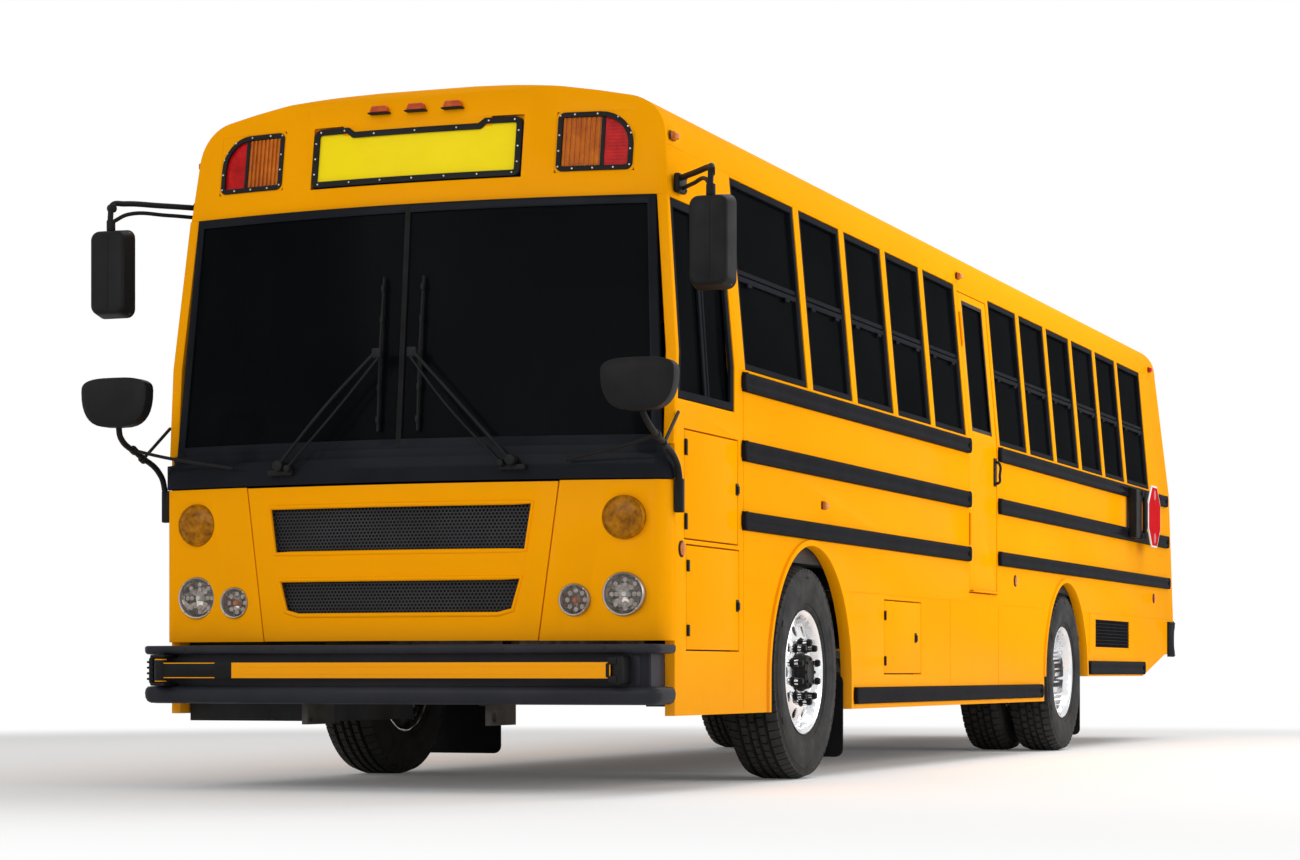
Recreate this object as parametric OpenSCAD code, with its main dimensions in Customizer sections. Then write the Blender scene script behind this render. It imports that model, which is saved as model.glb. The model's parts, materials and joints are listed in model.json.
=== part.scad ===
// Flat-fronted school bus with its engine in the nose.
// X points to the bus's own left, Y to its rear and Z up, with the origin on the ground below its middle.
// Stations called d are measured backwards from the foremost point of the body's side wall.

/* [Body] */
// Width of the body over its side panels
body_w = 2438; // [2350:1:2500]
// Y of station 0, the front corner of the side wall
nose_y = -5570; // [-5600:1:-5540]
// Thickness of the walls and the roof
wall_t = 45; // [40:1:60]
// Height of the skirt's lower edge above the ground
skirt_z = 333; // [320:1:345]
// Height at which the side wall starts to lean inwards
waist_z = 1895; // [1890:1:1900]
// Distance that the wall leans in by the top of the windows
lean_in = 79; // [60:1:90]
// Height of the joint between side wall and roof
eave_z = 2800; // [2795:1:2810]
// Height of the roof's crown
crown_z = 3115; // [3105:1:3125]
// Top of the floor
floor_z = 1100; // [1095:1:1105]
// Thickness of the floor
floor_t = 50; // [45:1:52]

/* [Windows] */
// Distance from one window post to the next
window_pitch = 762; // [755:1:765]
// Width of a window post
post_w = 86; // [80:1:95]
// Height of the passenger windows' lower edge
sill_z = 1898; // [1898:1:1905]
// Height of the passenger windows' upper edge
head_z = 2783; // [2770:1:2785]

/* [Towing] */
// Radius of the holes in the tow eyes
tow_eye_r = 22; // [15:1:26]

/* [Wheels] */
// Station of the front axle
front_axle_d = 1975; // [1965:1:1985]
// Distance between the axles
wheelbase = 5635; // [5620:1:5650]
// Outer radius of a tyre
tyre_r = 520; // [515:1:522]
// Width of a tyre
tyre_w = 280; // [270:1:284]
// Distance of the front tyres' middle from the centre line
front_track = 1070; // [1060:1:1072]
// Distance of the outer rear tyres' middle from the centre line
rear_track = 1080; // [1070:1:1082]
// Distance between the middles of twin tyres
twin_gap = 335; // [330:1:340]
// Distance of the kingpins from the centre line
kingpin_x = 955; // [950:1:960]

/* [Seats] */
// Number of seat rows
seat_rows = 12; // [8:1:12]
// Distance between seat rows
seat_pitch = 762; // [750:1:762]
// Width of a passenger seat
seat_w = 950; // [900:1:955]

/* [Hidden] */
$fn = 64;
gap = 6;
half_w = body_w / 2;
lean = lean_in / (head_z - waist_z);
crown_r = 5000;
crown_c = crown_z - crown_r;
shoulder_r = 190;
nose_r = 5000;
nose_d = -160;
nose_corner_r = 75;
nose_back = 48;
seat_x = 1130;
door_row = 4;
panel_lo = 655;
panel_hi = 1340;
rake = 5.6;
glass_foot_d = -120;
glass_foot_z = 1505;
glass_top_z = 2572;
tail_d = 11450;
tail_lean = 0.18;
tail_z = 900;
tail_t = 60;
roof_from = 380;
rear_axle_d = front_axle_d + wheelbase;
axle_z = tyre_r;
arch_z = 485;
front_arch_r = 650;
rear_arch_r = 628;
front_posts = [for (k = [0:4]) 1976 + k * window_pitch];
rear_posts = [for (k = [0:4]) 6555 + k * window_pitch];
door_d0 = 5050;
door_d1 = 5730;
front_windows = [for (k = [0:4]) [k == 0 ? 985 : front_posts[k - 1] + post_w / 2, k == 4 ? 4990 : front_posts[k] - post_w / 2]];
rear_windows = [for (k = [0:5]) [k == 0 ? 5795 : rear_posts[k - 1] + post_w / 2, k == 5 ? 10470 : rear_posts[k] - post_w / 2]];
left_windows = concat(front_windows, rear_windows);
right_windows = concat(front_windows, [[5076, 5709]], rear_windows);
entry_d0 = 185;
entry_d1 = 925;
entry_z0 = 350;
entry_z1 = 2520;
entry_lean = 54 / 2190;
left_door_z0 = 985;
left_door_z1 = 2755;
rear_door_half = 460;
rear_door_z0 = 1030;
rear_door_z1 = 2640;
hatch_ds = [3300, 8300];
hatch_half = 300;
upper_access = [165, 885, 1092, 1571];
lower_access = [190, 900, 612, 1074];
battery_access = [3260, 4000, 508, 905];
rail_t = 24;
// x, height and radius of the lamps in the nose: turn lamp, headlamp, inner lamp
nose_lamps = [[1026, 1180, 92], [1026, 853, 90], [816, 829, 68]];
rail_heights = [[1797, 1884], [1480, 1574], [1166, 1252]];
bumper_r = 10000;
bumper_d = -270;
bumper_z0 = 381;
bumper_z1 = 639;
stop_d = 9820;
stop_z = 1672;
sign_r = 228;
arm_pivot_x = -1105;
arm_pivot_d = -247;
arm_z = 528;
arm_pin_r = 9;
pin_z = 402;
tie_back = 150;
cap_r = 5500;
cap_lean = 9;
column_lean = 35;

function Y(d) = nose_y + d;
// point on the steering column's axis, t beyond the wheel's hub
function column_point(t) = [785, Y(790) + t * sin(column_lean), 1805 + t * cos(column_lean)];
// X of the side wall's outer face at a height, moved in by inset
function wall_x(z, inset) = half_w - inset - (z > waist_z ? (z - waist_z) * lean : 0);
// station of the rear wall's outer face at a height
function tail_at(z) = tail_d - max(0, z - tail_z) * tail_lean;

// middle of the shoulder's arc, which meets the leaning wall and the crown's arc smoothly
wall_normal = [1, lean] / norm([1, lean]);
wall_up = [-wall_normal[1], wall_normal[0]];
shoulder_foot = [half_w, waist_z] - shoulder_r * wall_normal;
foot_from_crown = shoulder_foot - [0, crown_c];
reach = foot_from_crown * wall_up;
shoulder_mid = shoulder_foot + wall_up
    * (sqrt(reach * reach - foot_from_crown * foot_from_crown + pow(crown_r - shoulder_r, 2)) - reach);
shoulder_a0 = atan2(wall_normal[1], wall_normal[0]);
shoulder_a1 = atan2(shoulder_mid[1] - crown_c, shoulder_mid[0]);
// one half of the body's cross-section from z0 up to the crown, moved in by inset
function half_section(inset, z0) = concat(
    [[half_w - inset, z0], [half_w - inset, waist_z]],
    [for (i = [0:10]) let (a = shoulder_a0 + (shoulder_a1 - shoulder_a0) * i / 10)
        shoulder_mid + (shoulder_r - inset) * [cos(a), sin(a)]],
    [for (i = [1:6]) let (a = shoulder_a1 + (90 - shoulder_a1) * i / 6.5)
        [0, crown_c] + (crown_r - inset) * [cos(a), sin(a)]]);

function reversed(list) = [for (i = [len(list) - 1:-1:0]) list[i]];
function arc(middle, r, a0, a1, steps) = [for (i = [0:steps]) middle + r * [cos(a0 + (a1 - a0) * i / steps), sin(a0 + (a1 - a0) * i / steps)]];
// plan points across a bowed face whose middle stands at station lead, moved in by inset
function bow(lead, radius, inset, reach) = [for (i = [-12:12]) let (x = reach * i / 12)
    [x, Y(lead) + radius - sqrt(pow(radius - inset, 2) - x * x)]];
// plan outline of a bowed nose with rounded corners, back to station back
function nose_outline(lead, radius, corner, half, back) =
    let (front = bow(lead, radius, 0, half - corner), y = front[0][1] + corner)
    concat([[-half, Y(back)]], arc([corner - half, y], corner, 180, 270, 6), front,
        arc([half - corner, y], corner, 270, 360, 6), [[half, Y(back)]]);

module rounded_rect(w, h, r) {
    polygon(concat(
        arc([w / 2 - r, h / 2 - r], r, 0, 90, 5), arc([r - w / 2, h / 2 - r], r, 90, 180, 5),
        arc([r - w / 2, r - h / 2], r, 180, 270, 5), arc([w / 2 - r, r - h / 2], r, 270, 360, 5)));
}

// extrudes an XZ outline along Y between two stations
module along_y(d0, d1) {
    translate([0, Y(d1), 0]) rotate([90, 0, 0]) linear_extrude(d1 - d0) children();
}

// extrudes an outline in station and height along X between two x values
module along_x(x0, x1) {
    translate([x0, nose_y, 0]) rotate([90, 0, 90]) linear_extrude(x1 - x0) children();
}

// extrudes an XY outline between two heights
module along_z(z0, z1) {
    translate([0, 0, z0]) linear_extrude(z1 - z0) children();
}

// block between stations, x values and heights
module block(x0, x1, d0, d1, z0, z1) {
    translate([x0, Y(d0), z0]) cube([x1 - x0, d1 - d0, z1 - z0]);
}

// extrudes an XZ outline from here along Y by h
module along_own_y(h) {
    translate([0, h, 0]) rotate([90, 0, 0]) linear_extrude(h) children();
}

module mirrored() {
    children();
    mirror([1, 0, 0]) children();
}

module tube(a, b, r) {
    v = b - a;
    h = norm(v);
    translate(a) rotate([0, acos(v[2] / h), atan2(v[1], v[0])]) cylinder(h = h, r = r, $fn = 32);
}

// slab of the side wall between two insets, as an outline that leans with the wall
module wall_band(z0, z1, i0, i1) {
    polygon([[wall_x(z0, i0), z0], [wall_x(z1, i0), z1], [wall_x(z1, i1), z1], [wall_x(z0, i1), z0]]);
}

// cross-section of the whole body above z0, moved in by inset
module body_section(inset, z0 = 1000) {
    side = half_section(inset, z0);
    polygon(concat(side, [for (i = [len(side) - 1:-1:0]) [-side[i][0], side[i][1]]]));
}

// band between two bowed faces
module bow_band(lead, radius, outer, inner, reach) {
    polygon(concat(bow(lead, radius, outer, reach), reversed(bow(lead, radius, inner, reach))));
}

// wall of the nose between two insets
module nose_ring(outer, inner, z0, z1) {
    along_z(z0, z1) difference() {
        polygon(nose_outline(nose_d + outer, nose_r, nose_corner_r - outer, half_w - outer, nose_back));
        polygon(nose_outline(nose_d + inner, nose_r, nose_corner_r - inner, half_w - inner, nose_back + 1));
    }
}

// the raked, bowed sheet that the windshield lies in, between two insets
module windshield_sheet(outer, inner) {
    translate([0, Y(glass_foot_d), glass_foot_z]) rotate([-rake, 0, 0]) translate([0, -nose_y, -200])
        linear_extrude(1700) bow_band(0, nose_r, outer, inner, 1300);
}

// channel rail whose open side faces the middle
// channel that opens inwards
module rail(x) {
    difference() {
        block(x - 40, x + 40, 20, 11380, 680, 940);
        block(x - 41, x + 32, 10, 11390, 690, 930);
    }
}

module chassis_frame() color("#202124") {
    // crossmembers set into the channels, bearers on top of them
    for (d = [180, 2650, 4300, 5900, 6900, 8500, 10200, 11250]) block(-423.7, 423.7, d, d + 70, 740, 900);
    for (d = [2750, 3400, 4050, 4700, 5350, 6000, 6650, 8700, 9300, 9900, 10500, 11000])
        block(-1168, 1168, d, d + 60, 940.3, floor_z - floor_t);
    mirrored() {
        rail(392);
        tow_plate(-150, 120, 290, 620, -115, 325);
        block(426, 454, 11250, 11440, 588, 800);
        tow_plate(11430, 11540, 588, 654, 11500, 621);
        // bumper brackets
        block(428, 470, -165, 120, 560, 640);
        block(428, 470, 30, 120, 560, 760);
        block(428, 470, 11200, 11450, 700, 860);
    }
}

// plate bolted to a rail's web, with an eye through it
module tow_plate(d0, d1, z0, z1, eye_d, eye_z) {
    difference() {
        block(426, 454, d0, d1, z0, z1);
        translate([420, Y(eye_d), eye_z]) rotate([0, 90, 0]) cylinder(h = 40, r = tow_eye_r);
    }
}

// leaf spring pack, thickest over the axle, with its shackles and clamps
module leaf_spring(x, d, low, half_len) {
    along_x(x - 38, x + 38) polygon([
        [d - half_len, low + 66], [d - half_len, low + 82], [d + half_len, low + 82], [d + half_len, low + 66],
        [d + 130, low], [d - 130, low]]);
    for (s = [-1, 1]) block(x - 30, x + 30, d + s * (half_len - 40) - 30, d + s * (half_len - 40) + 30, low + 81, 679);
    for (s = [-1, 1]) block(x - 44, x + 44, d + s * 95 - 12, d + s * 95 + 12, low - 20, low + 94);
}

module front_axle() color("#26272a") {
    ax = Y(front_axle_d);
    block(-700, 700, front_axle_d - 45, front_axle_d + 45, 372, 462);
    mirrored() {
        difference() {
            union() {
                translate([kingpin_x, ax, 465]) cylinder(h = 110, r = 48);
                along_y(front_axle_d - 35, front_axle_d + 35)
                    polygon([[660, 378], [700, 378], [kingpin_x - 20, 478], [kingpin_x - 20, 560], [870, 560], [660, 462]]);
            }
            translate([kingpin_x, ax, 400]) cylinder(h = 250, r = 22);
        }
        leaf_spring(450, front_axle_d, 474, 640);
        block(400, 500, front_axle_d - 100, front_axle_d + 100, 350, 373);
        block(412, 488, front_axle_d - 55, front_axle_d + 55, 461, 475);
    }
}

module rear_axle() color("#26272a") {
    ax = Y(rear_axle_d);
    translate([-560, ax, axle_z]) rotate([0, 90, 0]) cylinder(h = 1120, r = 75);
    translate([-60, ax + 120, axle_z]) rotate([90, 0, 0]) cylinder(h = 240, r = 195);
    // pinion housing and the shaft forwards to the gearbox
    translate([-60, ax - 100, axle_z + 30]) rotate([90, 0, 0]) cylinder(h = 240, r = 88);
    tube([-60, ax - 345, axle_z + 30], [20, Y(2430), 650], 45);
    mirrored() {
        translate([555, ax, axle_z]) rotate([0, 90, 0]) cylinder(h = 35, r = 105);
        translate([585, ax, axle_z]) rotate([0, 90, 0]) cylinder(h = 330, r = 48);
        leaf_spring(450, rear_axle_d, axle_z + 64, 650);
        block(405, 495, rear_axle_d - 70, rear_axle_d + 70, axle_z + 50, axle_z + 87);
    }
}

module engine_block() color("#3a3d40") {
    block(-260, 340, 330, 1480, 560, 1330);
    block(-150, 190, 1480, 2420, 600, 930);
}

module fuel_tank() color("#1c1d1f") {
    along_y(4850, 6350) translate([810, 695]) rounded_rect(640, 430, 60);
    for (d = [5350, 6000]) block(500, 1130, d, d + 60, 905, 939);
}

module exhaust_pipe() color("#6b6762") {
    pipe_x = -545;
    tube([pipe_x, Y(2600), 862], [pipe_x, Y(10600), 862], 45);
    along_y(3600, 5000) translate([-625, 780]) rounded_rect(320, 280, 100);
    tube([pipe_x, Y(10560), 872], [pipe_x, Y(11400), 596], 43);
}

module floor() color("#2b2b2d") {
    well_d0 = entry_d0 - 20;
    well_d1 = entry_d1 + 5;
    edge = half_w - wall_t - 2;
    difference() {
        block(-edge, edge, well_d1, tail_at(floor_z) - tail_t - 2, floor_z - floor_t, floor_z);
        block(-290, 370, 800, 1510, 900, 1200);
    }
    difference() {
        block(-440, edge, 52, well_d1 + 1, floor_z - floor_t, floor_z);
        block(-290, 370, 300, 1510, 900, 1200);
    }
    // covers over the wheels, inside the arches
    mirrored() for (d = [front_axle_d, rear_axle_d]) block(860, edge, d - 700, d + 700, floor_z - 1, 1165);
    // step well behind the entry door
    block(-1165, -440, well_d0, well_d1, 300, 345);
    block(-1165, -440, well_d1 - 1, well_d1 + 40, 300, floor_z - floor_t + 1);
    block(-1165, -440, well_d0 - 40, well_d0, 300, floor_z);
    block(-480, -440, well_d0 - 1, well_d1, 344, floor_z - floor_t + 1);
    for (s = [[-940, 600], [-700, 860]]) {
        block(s[0], -479, well_d0 - 1, well_d1, s[1] - 40, s[1]);
        block(s[0], s[0] + 20, well_d0 - 1, well_d1, s[1] - 256, s[1] - 39);
    }
}

module side_outline() {
    polygon([
        [50, skirt_z], [50, 1495], [33, 1495], [33 + (glass_top_z + 3 - 1495) * 0.076, glass_top_z + 3],
        [171, glass_top_z + 3], [171, eave_z],
        [tail_at(eave_z) - tail_t, eave_z], [tail_at(tail_z) - tail_t, tail_z], [tail_d - tail_t, 660],
        [11110, 660], [10230, 492], [rear_axle_d + 10, 492], [rear_axle_d + 10, skirt_z]]);
}

module side_wall_blank() {
    intersection() {
        along_y(0, 11500) polygon([
            [half_w, 300], [half_w, waist_z], [wall_x(eave_z, 0), eave_z],
            [wall_x(eave_z, wall_t), eave_z], [half_w - wall_t, waist_z], [half_w - wall_t, 300]]);
        along_x(900, 1300) side_outline();
    }
}

module arch_cut(d, r) {
    along_x(900, 1300) {
        translate([d, arch_z]) circle(r, $fn = 128);
        translate([d - r, 0]) square([2 * r, arch_z]);
    }
}

// raised lip round a wheel arch
module arch_lip(d, r, foot) {
    along_x(half_w - 10, half_w + 14) intersection() {
        difference() {
            union() {
                translate([d, arch_z]) circle(r + 28, $fn = 128);
                translate([d - r - 28, 0]) square([2 * r + 56, arch_z]);
            }
            translate([d, arch_z]) circle(r, $fn = 128);
            translate([d - r, 0]) square([2 * r, arch_z]);
        }
        translate([d - 900, foot]) square([1800, 1800]);
    }
}

module window_cuts(list) {
    for (w = list) block(1000, 1300, w[0], w[1], sill_z, head_z);
}

module left_side_wall() color("#ffb400") {
    difference() {
        side_wall_blank();
        arch_cut(front_axle_d, front_arch_r);
        arch_cut(rear_axle_d, rear_arch_r);
        window_cuts(left_windows);
        along_x(1000, 1300) polygon([[88, 1692], [150, 2568], [835, 2568], [835, 1692]]);
        block(1000, 1300, door_d0, door_d1, left_door_z0, left_door_z1);
        for (a = [upper_access, lower_access, battery_access]) block(1000, 1300, a[0], a[1], a[2], a[3]);
        block(1195, 1300, 8539, 9719, 689, 893);
    }
    arch_lip(front_axle_d, front_arch_r, skirt_z);
    arch_lip(rear_axle_d, rear_arch_r, 492);
}

module right_side_wall() color("#ffb400") mirror([1, 0, 0]) {
    difference() {
        side_wall_blank();
        arch_cut(front_axle_d, front_arch_r);
        arch_cut(rear_axle_d, rear_arch_r);
        window_cuts(right_windows);
        block(1000, 1300, entry_d0 - gap, entry_d1 + gap, 300, entry_z1 + gap);
    }
    arch_lip(front_axle_d, front_arch_r, skirt_z);
    arch_lip(rear_axle_d, rear_arch_r, 492);
}

module roof() color("#ffb400") {
    difference() {
        intersection() {
            along_y(roof_from, tail_d) difference() {
                body_section(0);
                body_section(wall_t);
            }
            along_x(-1300, 1300) polygon([
                [0, eave_z], [0, 3200], [tail_at(3200), 3200], [tail_at(eave_z), eave_z]]);
        }
        for (d = hatch_ds) block(-hatch_half, hatch_half, d - hatch_half, d + hatch_half, 2900, 3200);
    }
}

// upright cylinder that leans back like the cap's face, moved in by inset
module cap_face(inset) {
    translate([0, Y(0), 2572]) rotate([-cap_lean, 0, 0]) translate([0, cap_r, -300])
        cylinder(h = 1200, r = cap_r - inset, $fn = 1024);
}

module cap_space(inset, back) {
    top_r = 150 - inset;
    intersection() {
        along_y(-250, roof_from + back) body_section(inset);
        cap_face(inset);
        along_x(-1300, 1300) polygon(concat(
            [[600, 2500], [-60 + inset, 2500]],
            [for (a = [0:15:90]) [220 - top_r * cos(a), crown_z - 150 + top_r * sin(a)]],
            [[600, crown_z - inset]]));
    }
}

module front_cap() color("#ffb400") {
    difference() {
        cap_space(0, 0);
        cap_space(wall_t, 50);
        block(-1300, 1300, -300, 500, 2400, glass_top_z + 4);
        // the side walls rise to the eave behind the corner posts
        mirrored() block(1092, 1300, 169, 600, 2500, eave_z + 1);
        // pockets for the lamp panels and the sign
        mirrored() block(657, 1009, -200, 600, 2683, 2953);
        block(-510, 510, -200, 102, 2672, 2952);
    }
}

module rear_wall() color("#ffb400") {
    difference() {
        intersection() {
            rear_slab(-1300, 1300, 660, 3200, 0, tail_t);
            along_y(10500, 11600) {
                intersection() {
                    union() {
                        body_section(0);
                        translate([-half_w, 600]) square([2 * half_w, 500]);
                    }
                    translate([-1300, 600]) square([2600, eave_z - 600]);
                }
                body_section(wall_t + 2);
            }
        }
        block(-rear_door_half, rear_door_half, 10500, 11800, rear_door_z0, rear_door_z1);
        mirrored() block(540, 1010, 10500, 11800, 1930, 2600);
        // slots for the frame's end plates and the bumper's brackets
        mirrored() block(420, 480, 11300, 11500, 600, 880);
    }
}

module front_corner_panels() color("#ffb400") {
    difference() {
        nose_ring(0, 40, panel_lo, panel_hi);
        along_y(-400, 400) polygon([[-654, 600], [654, 600], [760, 1400], [-760, 1400]]);
        mirrored() for (l = nose_lamps) translate([l[0], Y(-300), l[1]]) rotate([-90, 0, 0]) cylinder(h = 600, r = l[2] + 2);
    }
}

module cowl() color("#1b1d22") {
    nose_ring(-8, 60, 1346, 1452);
    nose_ring(22, 70, 1451, 1492);
    // gasket and middle bar of the windshield
    difference() {
        intersection() {
            windshield_sheet(-4, 30);
            along_y(-300, 400) polygon([[-1170, 1490], [1170, 1490], [1110, 2574], [-1110, 2574]]);
        }
        along_y(-400, 500) {
            polygon([[12, 1535], [1128, 1535], [1078, 2536], [12, 2536]]);
            polygon([[-12, 1535], [-1128, 1535], [-1078, 2536], [-12, 2536]]);
        }
    }
}

module windshield_glass() color("#101316") mirrored() intersection() {
    windshield_sheet(6, 14);
    along_y(-300, 400) polygon([[13, 1536], [1127, 1536], [1077, 2535], [13, 2535]]);
}

module window_pane(w) {
    along_y(w[0] + 3, w[1] - 3) wall_band(sill_z + 3, head_z - 3, 22, 28);
}

module window_glass() color("#101316") {
    for (w = left_windows) window_pane(w);
    mirror([1, 0, 0]) for (w = right_windows) window_pane(w);
    intersection() {
        along_y(0, 1000) wall_band(1696, 2564, 22, 28);
        along_x(1000, 1300) polygon([[93, 1696], [154, 2564], [831, 2564], [831, 1696]]);
    }
    mirrored() intersection() {
        along_x(543, 1007) polygon([
            [tail_at(2640) - 20, 2640], [tail_at(1900) - 20, 1900], [tail_at(1900) - 28, 1900], [tail_at(2640) - 28, 2640]]);
        block(500, 1100, 10000, 12000, 1933, 2597);
    }
}

module window_sash(w) {
    difference() {
        along_y(w[0] + 2, w[1] - 2) wall_band(sill_z + 2, head_z - 2, 10, 21.7);
        block(1000, 1300, w[0] + 34, w[1] - 34, sill_z + 44, 2322);
        block(1000, 1300, w[0] + 34, w[1] - 34, 2362, head_z - 44);
    }
}

module window_sashes() color("#17181a") {
    for (w = left_windows) window_sash(w);
    mirror([1, 0, 0]) for (w = right_windows) window_sash(w);
    difference() {
        along_y(20, 833) wall_band(1694, 2566, 10, 21.7);
        along_x(1000, 1300) polygon([[20, 1600], [20, 2600], [153, 2600], [91, 1694], [60, 1600]]);
        along_x(1000, 1300) polygon([[124, 1726], [183, 2534], [470, 2534], [470, 1726]]);
        along_x(1000, 1300) polygon([[500, 1726], [500, 2534], [801, 2534], [801, 1726]]);
    }
}

module rub_rail(d0, d1, z0, z1) {
    block(half_w + 0.3, half_w + rail_t, d0, d1, z0, z1);
}

module side_rails(front_d, split) {
    for (z = rail_heights) {
        if (split) rub_rail(front_d, door_d0 - 12, z[0], z[1]);
        if (split) rub_rail(door_d1 + 12, 11120 + (1884 - z[1]) * 0.16, z[0], z[1]);
        if (!split) rub_rail(front_d, 11120 + (1884 - z[1]) * 0.16, z[0], z[1]);
    }
    rub_rail(2700, 6880, 357, 443);
    rub_rail(8300, 10230, 504, 598);
}

module rub_rails() color("#1a1b1e") {
    side_rails(925, true);
    mirror([1, 0, 0]) side_rails(1010, false);
}

module front_bumper() color("#17181c") {
    difference() {
        along_z(bumper_z0, bumper_z1) difference() {
            polygon(nose_outline(bumper_d, bumper_r, 60, 1238, 25));
            polygon(nose_outline(bumper_d + 90, bumper_r, 30, 1148, 26));
        }
        // groove that the crossing arm lies in
        along_z(458, 598) bow_band(bumper_d, bumper_r, -20, 55, 1180);
    }
    // lugs and pin of the crossing arm, and the cup that its tip rests in
    for (z = [460, 584]) block(arm_pivot_x - 36, arm_pivot_x + 36, arm_pivot_d - 34, -130, z, z + 13);
    translate([arm_pivot_x, Y(arm_pivot_d), 470]) cylinder(h = 116, r = arm_pin_r);
    block(-1178, arm_pivot_x - 45, -235, -130, 465, 590);
    block(1056, 1100, -262, -130, 470, 586);
}

module rear_bumper() color("#17181c") {
    difference() {
        along_z(660, 925) intersection() {
            polygon([for (p = bow(-11560, 12000, 0, half_w)) [p[0], 2 * nose_y - p[1]]]);
            translate([-half_w, Y(tail_d + 1)]) square([body_w, 150]);
        }
        mirrored() block(390, 475, 11400, 11700, 690, 870);
    }
}

module mud_flap(x0, x1, d) {
    along_y(d, d + 10) {
        translate([(x0 + x1) / 2, 300]) rounded_rect(x1 - x0, 420, 40);
        polygon([[x0, 300], [x0, 690], [x1 - 120, 690], [x1 - 120, 300]]);
    }
    block(x0 + 10, x1 - 130, d + 9, d + 40, 650, floor_z - floor_t);
}

module mud_flaps() color("#151516") mirrored() {
    mud_flap(700, 1190, 2608);
    mud_flap(610, 1165, 8290);
}

// one bench against the left wall: cushion and back on two legs by the aisle
module bench(d) {
    x = seat_x - seat_w;
    along_x(x, x + seat_w) polygon([
        [d, 1500], [d + 20, 1585], [d + 400, 1565], [d + 440, 1700], [d + 520, 2255], [d + 560, 2285],
        [d + 600, 2250], [d + 530, 1640], [d + 480, 1480], [d + 20, 1480]]);
    for (e = [90, 400]) block(x + 60, x + 100, d + e, d + e + 40, floor_z, 1481);
}

module driver_seat() {
    block(640, 850, 1120, 1480, floor_z, 1441);
    along_x(540, 1030) polygon([[1010, 1440], [1010, 1540], [1420, 1520], [1520, 2180], [1600, 2190], [1640, 2150], [1540, 1440]]);
    along_x(665, 905) polygon([[1530, 2184], [1545, 2330], [1640, 2330], [1625, 2172]]);
}

module seats() color("#2f3a45") {
    for (i = [0:seat_rows - 1]) {
        if (i != door_row) bench(1900 + i * seat_pitch);
        mirror([1, 0, 0]) bench(1560 + i * seat_pitch);
    }
    driver_seat();
}

module dashboard() color("#222326") {
    // dash under the windshield, over the driver's half
    along_x(405, half_w - wall_t - 10) polygon([
        [60, floor_z + 250], [60, 1495], [200, 1510], [330, 1460], [430, 1380], [400, 1240], [250, floor_z + 250]]);
    block(-1160, 1160, 56, 86, floor_z, 1470);
    // engine cover
    difference() {
        along_x(-330, 410) polygon([[80, floor_z], [80, 1490], [700, 1490], [1540, 1400], [1540, floor_z]]);
        block(-290, 370, 120, 1510, 1000, 1370);
    }
    // steering column
    tube(column_point(-560), column_point(-6), 38);
}

module steering_wheel() color("#151515") {
    translate(column_point(0)) rotate([-column_lean, 0, 0]) {
        rotate_extrude($fn = 96) translate([225, 30]) circle(17, $fn = 24);
        cylinder(h = 34, r = 55);
        for (a = [90, 210, 330]) rotate([0, 0, a]) translate([40, -16, 18]) cube([176, 32, 14]);
    }
}

module high_mirror() {
    // flat mirror hung from a cranked arm at the cap's corner
    difference() {
        translate([1439, Y(-155), 2325]) along_own_y(90) rounded_rect(196, 400, 45);
        translate([1439, Y(-112), 2325]) along_own_y(50) rounded_rect(176, 380, 36);
    }
    tube([1439, Y(-125), 2500], [1439, Y(-90), 2645], 14);
    tube([1439, Y(-90), 2640], [1174, Y(230), 2655], 13);
    tube([1439, Y(-104), 2590], [1174, Y(255), 2612], 9);
    translate([1439, Y(-91), 2641]) sphere(r = 21, $fn = 24);
    block(1158, 1190, 190, 290, 2592, 2676);
}

module cross_mirror() {
    // domed mirror on a bent stalk with two braces
    translate([1232, Y(-455), 1712]) along_own_y(100) intersection() {
        translate([0, 60]) circle(163);
        translate([-200, -115]) square([400, 225]);
    }
    tube([1232, Y(-380), 1650], [1246, Y(-360), 1550], 15);
    tube([1246, Y(-360), 1560], [1246, Y(20), 1400], 14);
    tube([1246, Y(20), 1400], [1246, Y(45), 1220], 13);
    translate([1246, Y(-360), 1560]) sphere(r = 22, $fn = 24);
    translate([1246, Y(20), 1400]) sphere(r = 22, $fn = 24);
    tube([1246, Y(-240), 1510], [780, Y(-130), 1420], 8);
    tube([1246, Y(-160), 1475], [1229, Y(70), 1640], 8);
    block(1219.3, 1262, 30, 60, 1200, 1345);
}

module mirrors() color("#1c1c1d") mirrored() {
    high_mirror();
    cross_mirror();
}

module wiper(x, s) {
    // twin rods from the spindle up to an upright blade
    tube([x, Y(-150), 1428], [x, Y(-195), 1428], 22);
    tube([x, Y(-185), 1428], [x + s * 475, Y(-162), 1925], 7);
    tube([x + s * 40, Y(-185), 1420], [x + s * 490, Y(-162), 1900], 7);
    tube([x + s * 482, Y(-155), 1570], [x + s * 482, Y(-75), 2260], 9);
    tube([x + s * 482, Y(-165), 1910], [x + s * 482, Y(-105), 1915], 12);
}

module wipers() color("#141415") {
    wiper(555, -1);
    wiper(-555, 1);
}

// round lamp standing out of the nose
module nose_lamp(x, z, r) {
    lead = nose_d + nose_r - sqrt(nose_r * nose_r - x * x);
    translate([x, Y(lead + 36), z]) rotate([90, 0, 0]) cylinder(h = 50, r = r);
}

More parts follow.
